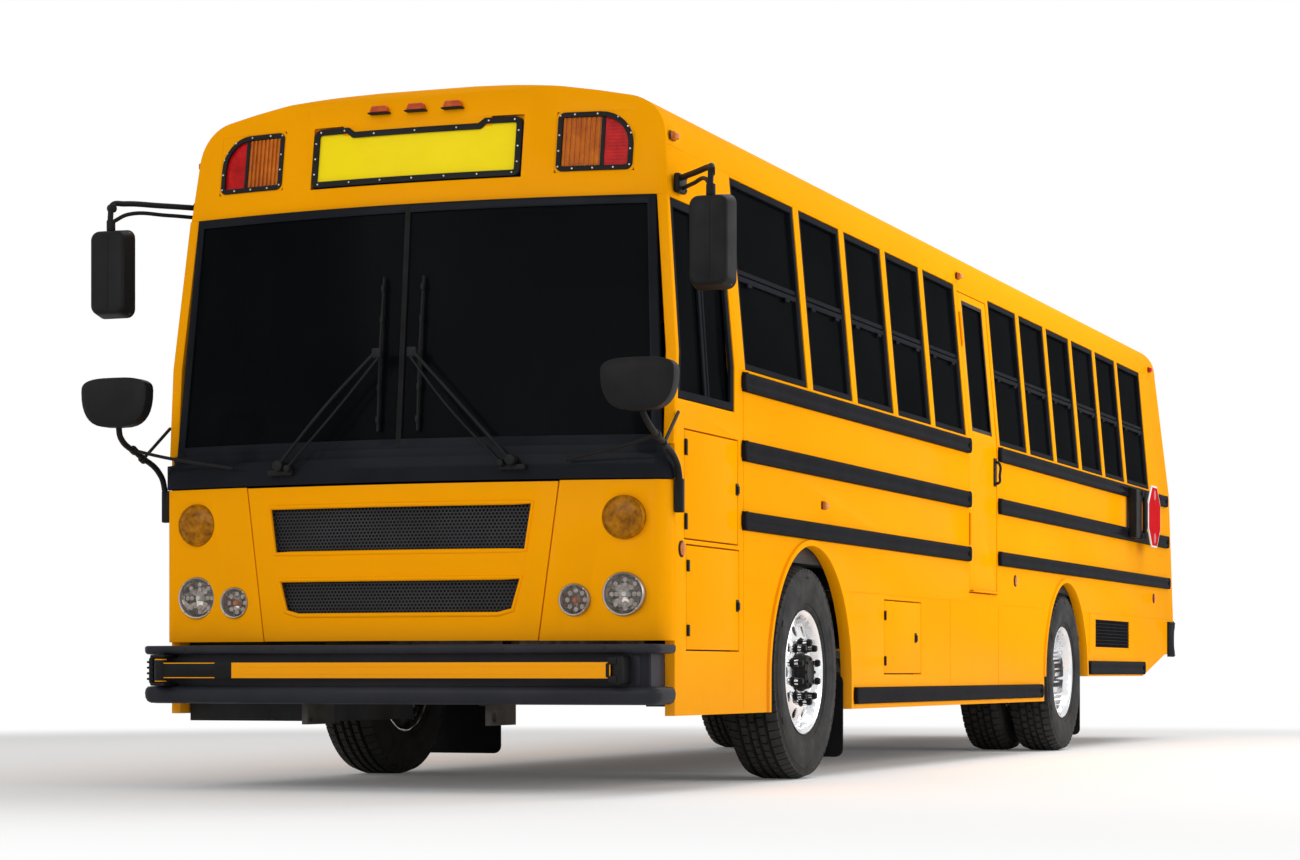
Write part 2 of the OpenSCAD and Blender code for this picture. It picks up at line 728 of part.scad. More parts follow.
module lamps() color("#c9862a") {
    mirrored() for (l = nose_lamps) nose_lamp(l[0], l[1], l[2]);
    // lamp panels beside the sign
    mirrored() intersection() {
        difference() {
            cap_face(6);
            cap_face(40);
        }
        along_y(-100, 300) translate([833, 2818]) rounded_rect(346, 264, 20);
    }
    // markers over the sign and along the roof's edge
    for (x = [-178, 0, 178]) translate([x, Y(46), 3002]) cylinder(h = 44, r = 24);
    mirrored() {
        for (d = [230, 5080, 10860]) block(1140, 1166, d - 35, d + 35, 2822, 2862);
        block(half_w + 0.3, half_w + 22, 2150, 2215, 1325, 1360);
        for (p = [[130, 1049], [6187, 1086], [10640, 1081]])
            translate([half_w + 0.3, Y(p[0]), p[1]]) rotate([0, 90, 0]) cylinder(h = 12, r = 36);
    }
    // rear lamps
    for (p = [[1075, 1590, 90], [1075, 1380, 90], [860, 1480, 90], [1075, 1200, 60], [800, 2740, 86], [1000, 2740, 86]])
        for (s = [-1, 1]) translate([s * p[0], Y(tail_at(p[1]) + 0.3), p[1]]) rotate([-90 + atan(tail_lean), 0, 0])
            cylinder(h = 26, r = p[2]);
}

module sign_boards() color("#f2d024") {
    along_x(-504, 504) polygon([[46, 2678], [88, 2946], [100, 2946], [58, 2678]]);
    along_x(-450, 450) polygon([
        [tail_at(2700) + 1, 2700], [tail_at(2900) + 1, 2900], [tail_at(2900) + 19, 2900], [tail_at(2700) + 19, 2700]]);
}

module stop_arm_bracket() color("#161617") {
    face = half_w + rail_t + 0.3;
    block(face, half_w + 78, stop_d - 220, stop_d - 30, 1500, 1850);
    for (z = [stop_z - 176, stop_z + 140]) {
        block(face, half_w + 96, stop_d - 60, stop_d + 12, z, z + 36);
        translate([half_w + 96, Y(stop_d), z]) cylinder(h = 36, r = 17);
    }
    block(face, half_w + 50, stop_d - 60, stop_d + 12, stop_z - 176, stop_z + 176);
}

module stop_arm() color("#c8102e") {
    // octagon that folds flat along the body, on a hinge tube at its front edge
    translate([half_w + 96, Y(stop_d), stop_z - 134]) cylinder(h = 268, r = 16);
    translate([half_w + 104, Y(stop_d + 36 + sign_r), stop_z]) rotate([0, 90, 0]) rotate([0, 0, 22.5])
        linear_extrude(14) circle(r = sign_r / cos(22.5), $fn = 8);
    block(half_w + 96, half_w + 110, stop_d + 4, stop_d + 60, stop_z - 100, stop_z + 100);
}

module crossing_arm() color("#ffb400") {
    difference() {
        union() {
            translate([arm_pivot_x, Y(arm_pivot_d), 478]) cylinder(h = 101, r = 27);
            block(arm_pivot_x, 1045, arm_pivot_d - 15, arm_pivot_d + 15, arm_z - 34, arm_z + 34);
        }
        translate([arm_pivot_x, Y(arm_pivot_d), 400]) cylinder(h = 300, r = arm_pin_r + 1);
    }
}

// ---------- wheels and steering ----------
module knuckle(s) {
    ax = Y(front_axle_d);
    mirror([s > 0 ? 0 : 1, 0, 0]) {
        translate([kingpin_x, ax, 410]) cylinder(h = 220, r = 21);
        for (z = [420, 585]) {
            block(kingpin_x, kingpin_x + 86, front_axle_d - 44, front_axle_d + 44, z, z + 35);
            translate([kingpin_x, ax, z]) cylinder(h = 35, r = 44);
        }
        block(kingpin_x + 58, kingpin_x + 86, front_axle_d - 44, front_axle_d + 44, 420, 620);
        translate([kingpin_x + 86, ax, axle_z]) rotate([0, 90, 0]) cylinder(h = 70, r = 38);
        // steering arm with a hole for the tie rod's pin
        difference() {
            union() {
                block(kingpin_x - 26, kingpin_x + 26, front_axle_d + 10, front_axle_d + tie_back, 424, 450);
                translate([kingpin_x, ax + tie_back, 424]) cylinder(h = 26, r = 30);
            }
            translate([kingpin_x, ax + tie_back, 400]) cylinder(h = 80, r = 12);
        }
    }
}

module left_knuckle() color("#3b3d40") knuckle(1);
module right_knuckle() color("#3b3d40") knuckle(-1);

module tie_rod() color("#3b3d40") {
    y = Y(front_axle_d) + tie_back;
    tube([-kingpin_x, y, pin_z], [kingpin_x, y, pin_z], 16);
    mirrored() {
        translate([kingpin_x, y, pin_z - 20]) cylinder(h = 37, r = 26);
        translate([kingpin_x, y, pin_z]) cylinder(h = 56, r = 11);
    }
}

// tyre outline: radius across, distance from its middle up
module tyre_outline() {
    b = tyre_w / 2;
    translate([0, 0]) {
        translate([424, 0]) rounded_rect(192, tyre_w, 42);
        translate([286, -104]) square([140, 208]);
        polygon([[304, -104], [380, -b], [380, b], [304, 104]]);
    }
}

module turned(x, d, out) {
    translate([x, Y(d), axle_z]) rotate([0, out * 90, 0]) children();
}

module tyre(x, d) {
    turned(x, d, 1) rotate_extrude($fn = 128) tyre_outline();
}

// barrel and flanges shared by every rim, distance outwards up
module barrel_outline() {
    polygon([[286, -104], [302, -106], [302, -116], [290, -116], [270, -100], [255, -60], [255, 60], [270, 100],
        [290, 116], [302, 116], [302, 106], [286, 104], [268, 60], [268, -60]]);
}

module hand_holes(low, high) {
    for (a = [0:36:359]) rotate([0, 0, a + 18]) translate([208, 0, low]) cylinder(h = high - low, r = 26);
}

module studs(low, high, nut) {
    for (a = [0:36:359]) rotate([0, 0, a]) translate([142.9, 0, low]) cylinder(h = high - low, r = nut);
}

// steer wheel: its disc bulges outwards
module front_rim(x, d, out) {
    turned(x, d, out) {
        difference() {
            rotate_extrude($fn = 128) {
                barrel_outline();
                polygon([[256, 20], [256, 50], [236, 78], [190, 96], [175, 98], [82, 98], [82, 78], [175, 78], [185, 74], [225, 52], [240, 20]]);
            }
            hand_holes(0, 140);
        }
        // hub: a cup that runs on the spindle
        difference() {
            union() {
                translate([0, 0, -20]) cylinder(h = 119, r = 84);
                translate([0, 0, 98]) cylinder(h = 42, r = 78);
            }
            translate([0, 0, -30]) cylinder(h = 80, r = 39.5);
        }
        studs(85, 132, 17);
    }
}

// twin wheels: the outer disc is dished inwards, the inner one faces it
module rear_rims(side) {
    turned(side * rear_track, rear_axle_d, side) {
        difference() {
            rotate_extrude($fn = 128) {
                barrel_outline();
                polygon([[256, -50], [256, -20], [240, -50], [225, -68], [180, -76], [82, -76], [82, -96], [180, -96], [235, -88]]);
            }
            hand_holes(-120, 0);
        }
        translate([0, 0, -twin_gap]) difference() {
            rotate_extrude($fn = 128) {
                barrel_outline();
                polygon([[256, 20], [256, 60], [235, 95], [180, 110], [82, 110], [82, 90], [180, 90], [225, 76], [240, 40]]);
            }
            hand_holes(0, 140);
        }
        difference() {
            union() {
                translate([0, 0, -twin_gap + 20]) cylinder(h = 240, r = 84);
                translate([0, 0, -twin_gap + 109]) cylinder(h = 151, r = 170);
                translate([0, 0, -76]) cylinder(h = 106, r = 92);
            }
            translate([0, 0, -twin_gap]) cylinder(h = 330 - 90, r = 50);
        }
        studs(-90, -40, 17);
    }
}

module rear_tyres(side) {
    tyre(side * rear_track, rear_axle_d);
    tyre(side * (rear_track - twin_gap), rear_axle_d);
}

module front_left_tyre() color("#1a1a1b") tyre(front_track, front_axle_d);
module front_right_tyre() color("#1a1a1b") tyre(-front_track, front_axle_d);
module front_left_rim() color("#d8d9dc") front_rim(front_track, front_axle_d, 1);
module front_right_rim() color("#d8d9dc") front_rim(-front_track, front_axle_d, -1);
module rear_left_tyres() color("#1a1a1b") rear_tyres(1);
module rear_right_tyres() color("#1a1a1b") rear_tyres(-1);
module rear_left_rims() color("#d8d9dc") rear_rims(1);
module rear_right_rims() color("#d8d9dc") rear_rims(-1);

// ---------- doors ----------
entry_mid = (entry_d0 + entry_d1) / 2;
entry_x = half_w - 2;

// flat leaf of the entry door in its slightly leaning plane, between two insets
module entry_slab(d0, d1, i0, i1, z0, z1) {
    along_y(d0, d1) mirror([1, 0]) polygon([
        [entry_x - i0 - (z0 - entry_z0) * entry_lean, z0], [entry_x - i0 - (z1 - entry_z0) * entry_lean, z1],
        [entry_x - i1 - (z1 - entry_z0) * entry_lean, z1], [entry_x - i1 - (z0 - entry_z0) * entry_lean, z0]]);
}

module entry_leaf(d0, d1) {
    difference() {
        entry_slab(d0, d1, 0, 32, entry_z0, entry_z1);
        block(-1300, -1000, d0 + 50, d1 - 50, 620, 1330);
        block(-1300, -1000, d0 + 50, d1 - 50, 1400, 2440);
    }
}

module entry_glass(d0, d1) {
    entry_slab(d0 + 51, d1 - 51, 12, 18, 621, 1329);
    entry_slab(d0 + 51, d1 - 51, 12, 18, 1401, 2439);
}

module entry_door_front_leaf() color("#17181a") entry_leaf(entry_d0, entry_mid - 8);
module entry_door_front_glass() color("#101316") entry_glass(entry_d0, entry_mid - 8);
module entry_door_rear_leaf() color("#17181a") entry_leaf(entry_mid + 8, entry_d1);
module entry_door_rear_glass() color("#101316") entry_glass(entry_mid + 8, entry_d1);

module left_emergency_door() color("#ffb400") {
    difference() {
        along_y(door_d0 + gap, door_d1 - 16) polygon([
            [half_w, left_door_z0 + gap], [half_w, waist_z], [wall_x(left_door_z1 - gap, 0), left_door_z1 - gap],
            [wall_x(left_door_z1 - gap, 34), left_door_z1 - gap], [half_w - 34, waist_z], [half_w - 34, left_door_z0 + gap]]);
        block(1000, 1300, 5143, 5627, 1938, 2708);
    }
    // strap hinges and the sill drip
    for (z = [[1265, 1450], [2430, 2630]]) along_y(door_d0 + gap, door_d0 + 36) polygon([
        [wall_x(z[0], 5), z[0]], [wall_x(z[1], 5), z[1]], [wall_x(z[1], -7), z[1]], [wall_x(z[0], -7), z[0]]]);
    block(half_w - 5, half_w + 26, door_d0 + 20, door_d1 - 30, left_door_z0 + gap, left_door_z0 + 16);
}

module left_emergency_door_glass() color("#101316")
    along_y(5144, 5626) wall_band(1939, 2707, 14, 20);

module rear_slab(x0, x1, z0, z1, i0, i1) {
    zm = max(z0, tail_z);
    along_x(x0, x1) polygon([
        [tail_at(z1) - i0, z1], [tail_at(zm) - i0, zm], [tail_at(z0) - i0, z0],
        [tail_at(z0) - i1, z0], [tail_at(zm) - i1, zm], [tail_at(z1) - i1, z1]]);
}

module rear_emergency_door() color("#ffb400") {
    difference() {
        rear_slab(-rear_door_half + gap, rear_door_half - 8, rear_door_z0 + gap, rear_door_z1 - gap - 4, 0, 40);
        block(-330, 330, 10500, 11800, 1960, 2560);
        block(-330, 330, 10500, 11800, 1240, 1760);
    }
}

module rear_emergency_door_glass() color("#101316") {
    rear_slab(-329, 329, 1961, 2559, 16, 22);
    rear_slab(-329, 329, 1241, 1759, 16, 22);
}

module grille_door() color("#ffb400") {
    difference() {
        intersection() {
            nose_ring(0, 40, panel_lo + 1, panel_hi - 4);
            along_y(-400, 400) polygon([[-648, 600], [648, 600], [754, 1400], [-754, 1400]]);
        }
        along_y(-400, 400) {
            polygon([[-634, 1250], [634, 1250], [603, 1040], [-603, 1040]]);
            polygon([[-584, 928], [584, 928], [546, 785], [480, 767], [-480, 767], [-546, 785]]);
        }
        // relief behind the top corners, which swing down as the door opens
        mirrored() intersection() {
            nose_ring(12, 60, 1240, 1400);
            block(732, 800, -300, 400, 1240, 1400);
        }
    }
}

module grille_mesh() color("#141517") {
    intersection() {
        nose_ring(22, 30, panel_lo, panel_hi);
        along_y(-400, 400) {
            polygon([[-633, 1249], [633, 1249], [602, 1041], [-602, 1041]]);
            polygon([[-583, 927], [583, 927], [545, 786], [479, 768], [-479, 768], [-545, 786]]);
        }
    }
}

// flat door in the side wall, smaller than its opening by the running gap
module access_door(a) {
    block(half_w - 28, half_w, a[0] + gap, a[1] - gap, a[2] + gap, a[3] - gap);
}

module upper_access_door() color("#ffb400") access_door(upper_access);
module lower_access_door() color("#ffb400") access_door(lower_access);
module battery_door() color("#ffb400") access_door(battery_access);

// lid that sits down in its opening, on a curb below
module roof_hatch(d) {
    difference() {
        block(-hatch_half + gap, hatch_half - gap, d - hatch_half + gap, d + hatch_half - 10, 3090, 3137);
        block(-hatch_half + 30, hatch_half - 30, d - hatch_half + 30, d + hatch_half - 34, 3000, 3120);
    }
}

module front_roof_hatch() color("#e9e9e6") roof_hatch(hatch_ds[0]);
module rear_roof_hatch() color("#e9e9e6") roof_hatch(hatch_ds[1]);

// ---------- the parts ----------
chassis_frame();
front_axle();
rear_axle();
engine_block();
fuel_tank();
exhaust_pipe();
floor();
left_side_wall();
right_side_wall();
roof();
front_cap();
rear_wall();
front_corner_panels();
cowl();
windshield_glass();
window_glass();
window_sashes();
rub_rails();
front_bumper();
rear_bumper();
mud_flaps();
seats();
dashboard();
mirrors();
wipers();
lamps();
sign_boards();
stop_arm_bracket();
left_knuckle();
right_knuckle();
tie_rod();
front_left_tyre();
front_left_rim();
front_right_tyre();
front_right_rim();
rear_left_tyres();
rear_left_rims();
rear_right_tyres();
rear_right_rims();
entry_door_front_leaf();
entry_door_front_glass();
entry_door_rear_leaf();
entry_door_rear_glass();
left_emergency_door();
left_emergency_door_glass();
rear_emergency_door();
rear_emergency_door_glass();
grille_door();
grille_mesh();
stop_arm();
crossing_arm();
steering_wheel();
upper_access_door();
lower_access_door();
battery_door();
front_roof_hatch();
rear_roof_hatch();
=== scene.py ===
import bpy
import json
from math import asin, cos, pi, radians, sin, sqrt, tan
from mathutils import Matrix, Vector

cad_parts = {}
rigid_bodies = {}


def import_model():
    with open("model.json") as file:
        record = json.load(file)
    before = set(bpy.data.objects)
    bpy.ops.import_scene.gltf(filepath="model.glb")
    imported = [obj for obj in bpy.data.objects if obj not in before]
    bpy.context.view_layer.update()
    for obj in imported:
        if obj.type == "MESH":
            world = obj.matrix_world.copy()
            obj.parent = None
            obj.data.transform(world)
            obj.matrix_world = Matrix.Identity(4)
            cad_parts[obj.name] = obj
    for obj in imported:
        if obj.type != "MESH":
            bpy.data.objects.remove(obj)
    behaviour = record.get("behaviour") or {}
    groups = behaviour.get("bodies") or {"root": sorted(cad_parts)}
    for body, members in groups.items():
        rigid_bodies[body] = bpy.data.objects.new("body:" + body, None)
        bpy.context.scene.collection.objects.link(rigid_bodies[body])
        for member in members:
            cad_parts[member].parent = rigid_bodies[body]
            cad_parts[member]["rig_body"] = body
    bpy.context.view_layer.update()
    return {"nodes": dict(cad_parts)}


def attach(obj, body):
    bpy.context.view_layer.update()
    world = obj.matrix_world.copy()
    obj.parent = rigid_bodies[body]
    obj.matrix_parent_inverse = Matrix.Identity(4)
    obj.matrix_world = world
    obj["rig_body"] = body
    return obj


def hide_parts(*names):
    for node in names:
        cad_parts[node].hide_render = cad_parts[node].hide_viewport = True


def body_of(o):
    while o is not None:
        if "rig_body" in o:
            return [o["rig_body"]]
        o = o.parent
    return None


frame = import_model()
print("frame loaded:", len(frame["nodes"]), "nodes")

noseY = -5.57  # pieces are modelled with y counted from the front of the side walls, and settle moves them here


# camera, floor and light

view = {"place": (5.5662, -17.398, 0.52), "turn": 20.58, "lens": 82.17, "rise": 0.1863}
studio = {"around": 0.5, "white": 1.0, "floor": (0.98, 0.98, 0.98, 1), "clear": (7.4, 11.4), "least": 0.07}
# name, place, size, watts, aimed at
lamps = [("topLamp", (3.4, 2.2, 10.5), (3.5, 10), 560, (0, -0.6, 0)),
         ("sideLamp", (10.5, -1.0, 4.6), (14, 5), 575, (0, -0.5, 1.2)),
         ("frontLamp", (-1.5, -14.5, 5.2), (8, 5), 265, (0, -5, 1.4))]


def seenRays(tree):  # 1 where the camera sees a surface straight, or in a mirror or through glass
    rays = tree.nodes.new("ShaderNodeLightPath")
    seen = Wire(tree, rays.outputs["Is Camera Ray"])
    for kind in ("Is Glossy Ray", "Is Transmission Ray"):
        seen = seen.maths("MAXIMUM", Wire(tree, rays.outputs[kind]))
    return seen


def setStudio():
    turn = (radians(90), 0, radians(view["turn"]))
    bpy.ops.object.camera_add(location=view["place"], rotation=turn)
    camera = bpy.context.object
    camera.data.lens = view["lens"]
    camera.data.sensor_width = 36
    camera.data.shift_y = view["rise"]
    camera.data.clip_end = 300
    bpy.context.scene.camera = camera
    bpy.context.scene.view_settings.view_transform = "Standard"

    for name, place, size, power, aim in lamps:
        bpy.ops.object.light_add(type="AREA", location=place)
        lamp = bpy.context.object
        lamp.name = name
        lamp.data.shape = "RECTANGLE"
        lamp.data.size, lamp.data.size_y = size
        lamp.data.energy = power
        lamp.rotation_euler = (Vector(aim) - Vector(place)).to_track_quat("-Z", "Y").to_euler()

    bpy.ops.mesh.primitive_plane_add(size=160, location=(0, 0, 0))
    floorSheet = bpy.context.object
    floorSheet.name = "studioFloor"
    bpy.ops.object.transform_apply(location=True, rotation=True, scale=True)
    floorSheet.data.materials.append(finishes["studioFloor"])

    world = bpy.data.worlds.new("studio")
    world.use_nodes = True
    bpy.context.scene.world = world
    tree = world.node_tree
    strength = seenRays(tree) * (studio["white"] - studio["around"]) + studio["around"]
    sky = tree.nodes["Background"]
    sky.inputs["Color"].default_value = (1, 1, 1, 1)
    tree.links.new(strength.socket, sky.inputs["Strength"])


# shader maths written as sums

class Wire:
    def __init__(self, tree, socket):
        self.tree, self.socket = tree, socket

    def add(self, kind, settings, inputs, output=0):
        node = self.tree.nodes.new(kind)
        for key, value in settings.items():
            setattr(node, key, value)
        for key, value in inputs.items():
            if isinstance(value, Wire):
                self.tree.links.new(value.socket, node.inputs[key])
            else:
                node.inputs[key].default_value = value
        return Wire(self.tree, node.outputs[output])

    def maths(self, operation, other):
        return self.add("ShaderNodeMath", {"operation": operation}, {0: self, 1: other})

    def blend(self, first, second):  # colours, this wire is the factor
        return self.add("ShaderNodeMix", {"data_type": "RGBA"}, {"Factor": self, 6: first, 7: second}, 2)

    def __add__(self, other):
        return self.maths("ADD", other)

    def __mul__(self, other):
        return self.maths("MULTIPLY", other)


# finishes

# slot, the two tones and the patches per metre of the mottling between them, the two roughnesses,
# kind of relief with its fineness and its height in metres, and whatever differs from the plain settings
looks = {
    "bodyYellow": ("body_yellow", (0.96, 0.375, 0.001), (0.93, 0.355, 0.001), 1.4, (0.28, 0.36), "grain",
        210, 0.0002, {"coat": 0.035, "specular": 0.0, "dust": (0.42, 0.34, 0.22), "dustTop": 0.75}),
    "blackPaint": ("black_paint", (0.014, 0.015, 0.019), (0.009, 0.01, 0.013), 3, (0.34, 0.46), "grain",
        260, 0.0002, {"coat": 0.06, "specular": 0.0}),
    "rubRailBlack": ("black_paint", (0.012, 0.0125, 0.016), (0.008, 0.0085, 0.011), 6, (0.3, 0.42),
        "grain", 300, 0.0002, {"coat": 0.07, "specular": 0.0}),
    "chassisBlack": ("chassis_black", (0.035, 0.035, 0.037), (0.018, 0.017, 0.017), 9, (0.55, 0.75),
        "grain", 90, 0.0006, {"dust": (0.2, 0.17, 0.13), "dustTop": 1.1}),
    "castIron": ("cast_iron", (0.15, 0.15, 0.155), (0.07, 0.066, 0.064), 14, (0.55, 0.8), "grain", 160,
        0.001, {"metal": 0.7}),
    "steel": ("steel", (0.46, 0.45, 0.43), (0.3, 0.28, 0.26), 12, (0.28, 0.5), "grain", 220, 0.0003,
        {"metal": 1.0}),
    "exhaustSteel": ("steel", (0.3, 0.27, 0.24), (0.16, 0.11, 0.08), 8, (0.5, 0.75), "grain", 120, 0.0005,
        {"metal": 0.8}),
    "aluminium": ("aluminium", (0.86, 0.865, 0.875), (0.7, 0.705, 0.72), 10, (0.12, 0.24), "grain", 420,
        0.0001, {"metal": 1.0}),
    "mirrorGlass": ("aluminium", (0.8, 0.81, 0.82), (0.76, 0.77, 0.78), 3, (0.02, 0.04), "grain", 20,
        0.00001, {"metal": 1.0}),
    "tyre": ("tyre", (0.024, 0.024, 0.025), (0.012, 0.012, 0.012), 11, (0.6, 0.8), "grain", 240, 0.0006,
        {"dust": (0.11, 0.1, 0.085), "dustTop": 0.3}),
    "rubber": ("rubber", (0.013, 0.013, 0.014), (0.008, 0.008, 0.008), 8, (0.5, 0.68), "grain", 260,
        0.0004, {"specular": 0.08}),
    "bumperBlack": ("black_paint", (0.03, 0.031, 0.038), (0.023, 0.024, 0.03), 4, (0.36, 0.5), "grain",
        420, 0.0003, {"coat": 0.05, "specular": 0.04}),
    "meshBlack": ("black_paint", (0.05, 0.051, 0.055), (0.034, 0.035, 0.038), 5, (0.34, 0.5), "grain", 300,
        0.0002, {"specular": 0.15}),
    "plasticBlack": ("plastic_black", (0.012, 0.012, 0.0125), (0.008, 0.008, 0.0085), 7, (0.42, 0.56),
        "grain", 520, 0.0004, {"specular": 0.1}),
    "darkGlass": ("dark_glass", (0.004, 0.005, 0.006), (0.002, 0.0025, 0.003), 1.2, (0.015, 0.035),
        "grain", 2, 0.0004, {"specular": 0.0, "coat": 0.02, "alpha": 0.955}),
    "floorRubber": ("floor_rubber", (0.03, 0.03, 0.031), (0.018, 0.018, 0.018), 6, (0.6, 0.75), "ribs",
        160, 0.002, {}),
    "seatVinyl": ("seat_vinyl", (0.034, 0.052, 0.083), (0.022, 0.036, 0.062), 9, (0.42, 0.6), "leather",
        210, 0.0008, {}),
    "driverCloth": ("seat_vinyl", (0.045, 0.047, 0.052), (0.02, 0.021, 0.024), 14, (0.8, 0.95), "grain",
        700, 0.0006, {}),
    "lensAmber": ("lamp_lens", (0.62, 0.165, 0.004), (0.4, 0.08, 0.002), 16, (0.08, 0.16), "ribs", 420,
        0.0016, {"coat": 0.12, "specular": 0.1}),
    "lensOrange": ("lamp_lens", (0.66, 0.1, 0.006), (0.42, 0.045, 0.003), 26, (0.08, 0.16), "ribs", 420,
        0.0016, {"coat": 0.2, "specular": 0.1}),
    "lensAmberPlain": ("lamp_lens", (0.52, 0.2, 0.002), (0.16, 0.05, 0.001), 30, (0.08, 0.16), "leather",
        120, 0.0014, {"coat": 0.1, "specular": 0.05}),
    "lensRed": ("lamp_lens", (0.62, 0.008, 0.008), (0.36, 0.003, 0.004), 18, (0.08, 0.16), "ribs", 420,
        0.0014, {"coat": 0.12, "specular": 0.05}),
    "lensClear": ("lamp_lens", (0.5, 0.46, 0.42), (0.3, 0.27, 0.25), 60, (0.02, 0.06), "leather", 46,
        0.003, {"specular": 0.2, "alpha": 0.2, "coat": 0.2}),
    "reflector": ("aluminium", (0.42, 0.37, 0.33), (0.2, 0.17, 0.15), 40, (0.05, 0.14), "leather", 50,
        0.002, {"metal": 1.0}),
    "signYellow": ("sign_yellow", (1.0, 0.78, 0.012), (0.98, 0.74, 0.01), 5, (0.3, 0.4), "grain", 300,
        0.0001, {"coat": 0.05, "specular": 0.0}),
    "stopRed": ("stop_red", (0.6, 0.008, 0.014), (0.5, 0.006, 0.01), 8, (0.3, 0.42), "grain", 300, 0.0002,
        {"coat": 0.03, "specular": 0.0}),
    "plainWhite": ("hatch_white", (0.8, 0.8, 0.78), (0.7, 0.7, 0.68), 7, (0.4, 0.55), "grain", 150, 0.0004, {}),
}
plain = {"metal": 0.0, "coat": 0.0, "specular": 0.2, "alpha": 1.0}
finishes = {}


def makeFinish(name, light, dark, patch, roughness, relief, fine, deep, other):
    material = bpy.data.materials.new(name)
    material.use_nodes = True
    tree = material.node_tree
    shader = tree.nodes["Principled BSDF"]
    place = Wire(tree, tree.nodes.new("ShaderNodeTexCoord").outputs["Object"])

    def noise(scale, detail, **more):
        return place.add("ShaderNodeTexNoise", {}, {"Vector": place, "Scale": scale, "Detail": detail, **more})

    patches = noise(patch, 5.0, Roughness=0.6)
    cloud = patches.add("ShaderNodeMapRange", {}, {"Value": patches, "From Min": 0.3, "From Max": 0.7})
    colour = cloud.blend((*light, 1), (*dark, 1))
    low, high = roughness
    rough = cloud * (high - low) + low
    if "dust" in other:  # road dust, thicker towards the ground
        height = place.add("ShaderNodeSeparateXYZ", {}, {0: place}, 2)
        level = height.add("ShaderNodeMapRange", {"clamp": True},
                           {"Value": height, "From Min": other["dustTop"], "From Max": 0.25})
        film = level * noise(26.0, 7.0, Roughness=0.7) * (0.16 if name == "bodyYellow" else 0.34)
        colour = film.blend(colour, (*other["dust"], 1))
        rough = rough + film
    if relief == "ribs":
        way = {"wave_type": "BANDS", "bands_direction": "Z" if "lens" in name else "X"}
        height = place.add("ShaderNodeTexWave", way, {"Vector": place, "Scale": fine / 20, "Distortion": 0}, 1)
    elif relief == "leather":
        height = place.add("ShaderNodeTexVoronoi", {"feature": "SMOOTH_F1"}, {"Vector": place, "Scale": fine})
    else:
        height = noise(fine, 3.0)
    bump = height.add("ShaderNodeBump", {}, {"Strength": 0.35, "Distance": deep, "Height": height})
    for socket, wire in (("Base Color", colour), ("Roughness", rough), ("Normal", bump)):
        tree.links.new(wire.socket, shader.inputs[socket])
    shader.inputs["Coat Roughness"].default_value = 0.12
    for socket, key in (("Metallic", "metal"), ("Coat Weight", "coat"), ("Specular IOR Level", "specular"),
                        ("Alpha", "alpha")):
        shader.inputs[socket].default_value = other.get(key, plain[key])
    finishes[name] = material


def makeFloorFinish():  # fades to plain white away from the bus
    material = bpy.data.materials.new("studioFloor")
    material.use_nodes = True
    tree = material.node_tree
    shader = tree.nodes["Principled BSDF"]
    shader.inputs["Base Color"].default_value = studio["floor"]
    shader.inputs["Roughness"].default_value = 0.9
    shader.inputs["Specular IOR Level"].default_value = 0.0
    place = Wire(tree, tree.nodes.new("ShaderNodeTexCoord").outputs["Object"])
    reach = place.add("ShaderNodeVectorMath", {"operation": "LENGTH"}, {0: place}, 1)
    low, high = studio["clear"]
    far = reach.add("ShaderNodeMapRange", {"interpolation_type": "SMOOTHSTEP"},
                    {"Value": reach, "From Min": low, "From Max": high})
    seen = seenRays(tree)
    glow = seen.add("ShaderNodeEmission", {}, {"Color": (1, 1, 1, 1), "Strength": 1.0})
    share = seen * (far * (1 - studio["least"]) + studio["least"])
    both = seen.add("ShaderNodeMixShader", {}, {0: share, 1: Wire(tree, shader.outputs[0]), 2: glow})
    tree.links.new(both.socket, tree.nodes["Material Output"].inputs["Surface"])
    finishes["studioFloor"] = material


# modelling by hand: select, edit, finish

mesh = bpy.ops.mesh


def only(piece):
    bpy.ops.object.select_all(action="DESELECT")
    piece.select_set(True)
    bpy.context.view_layer.objects.active = piece


def placed(piece):
    only(piece)
    bpy.ops.object.transform_apply(location=True, rotation=True, scale=True)
    return piece


def edit(piece, kind="FACE"):
    only(piece)
    bpy.ops.object.mode_set(mode="EDIT")
    mesh.select_mode(type=kind)


def whole(piece, kind="FACE"):  # edit with everything selected
    edit(piece, kind)
    mesh.select_all(action="SELECT")


def done():
    bpy.ops.object.mode_set(mode="OBJECT")


def pick(piece, wanted, kind="FACE"):  # wanted gets place and normal of a face, ends of an edge, or place
    edit(piece, kind)
    mesh.select_all(action="DESELECT")
    done()
    data = piece.data
    if kind == "FACE":
        for face in data.polygons:
            face.select = wanted(face.center, face.normal)
    else:
        for item in data.edges if kind == "EDGE" else data.vertices:
            corners = item.vertices if kind == "EDGE" else [item.index]
            item.select = wanted(*(data.vertices[i].co for i in corners))
    edit(piece, kind)


def pushed(*way):  # extrudes what is selected
    mesh.extrude_region_move(TRANSFORM_OT_translate={"value": way})


def sliced(piece, place, normal, **settings):
    whole(piece)
    mesh.bisect(plane_co=place, plane_no=normal, **settings)
    done()
    return piece


def bent(piece, rule):  # rule(corner) gives each corner's new place
    for corner in piece.data.vertices:
        corner.co = rule(*corner.co)
    piece.data.update()
    return piece


def modified(piece, kind, **settings):
    only(piece)
    modifier = piece.modifiers.new(kind.lower(), kind)
    for key, value in settings.items():
        setattr(modifier, key, value)
    bpy.ops.object.modifier_apply(modifier=modifier.name)
    return piece


def rounded(piece, width=0.003, segments=2, angle=35):
    return modified(piece, "BEVEL", width=width, segments=segments, limit_method="ANGLE",
                    angle_limit=radians(angle), use_clamp_overlap=True)


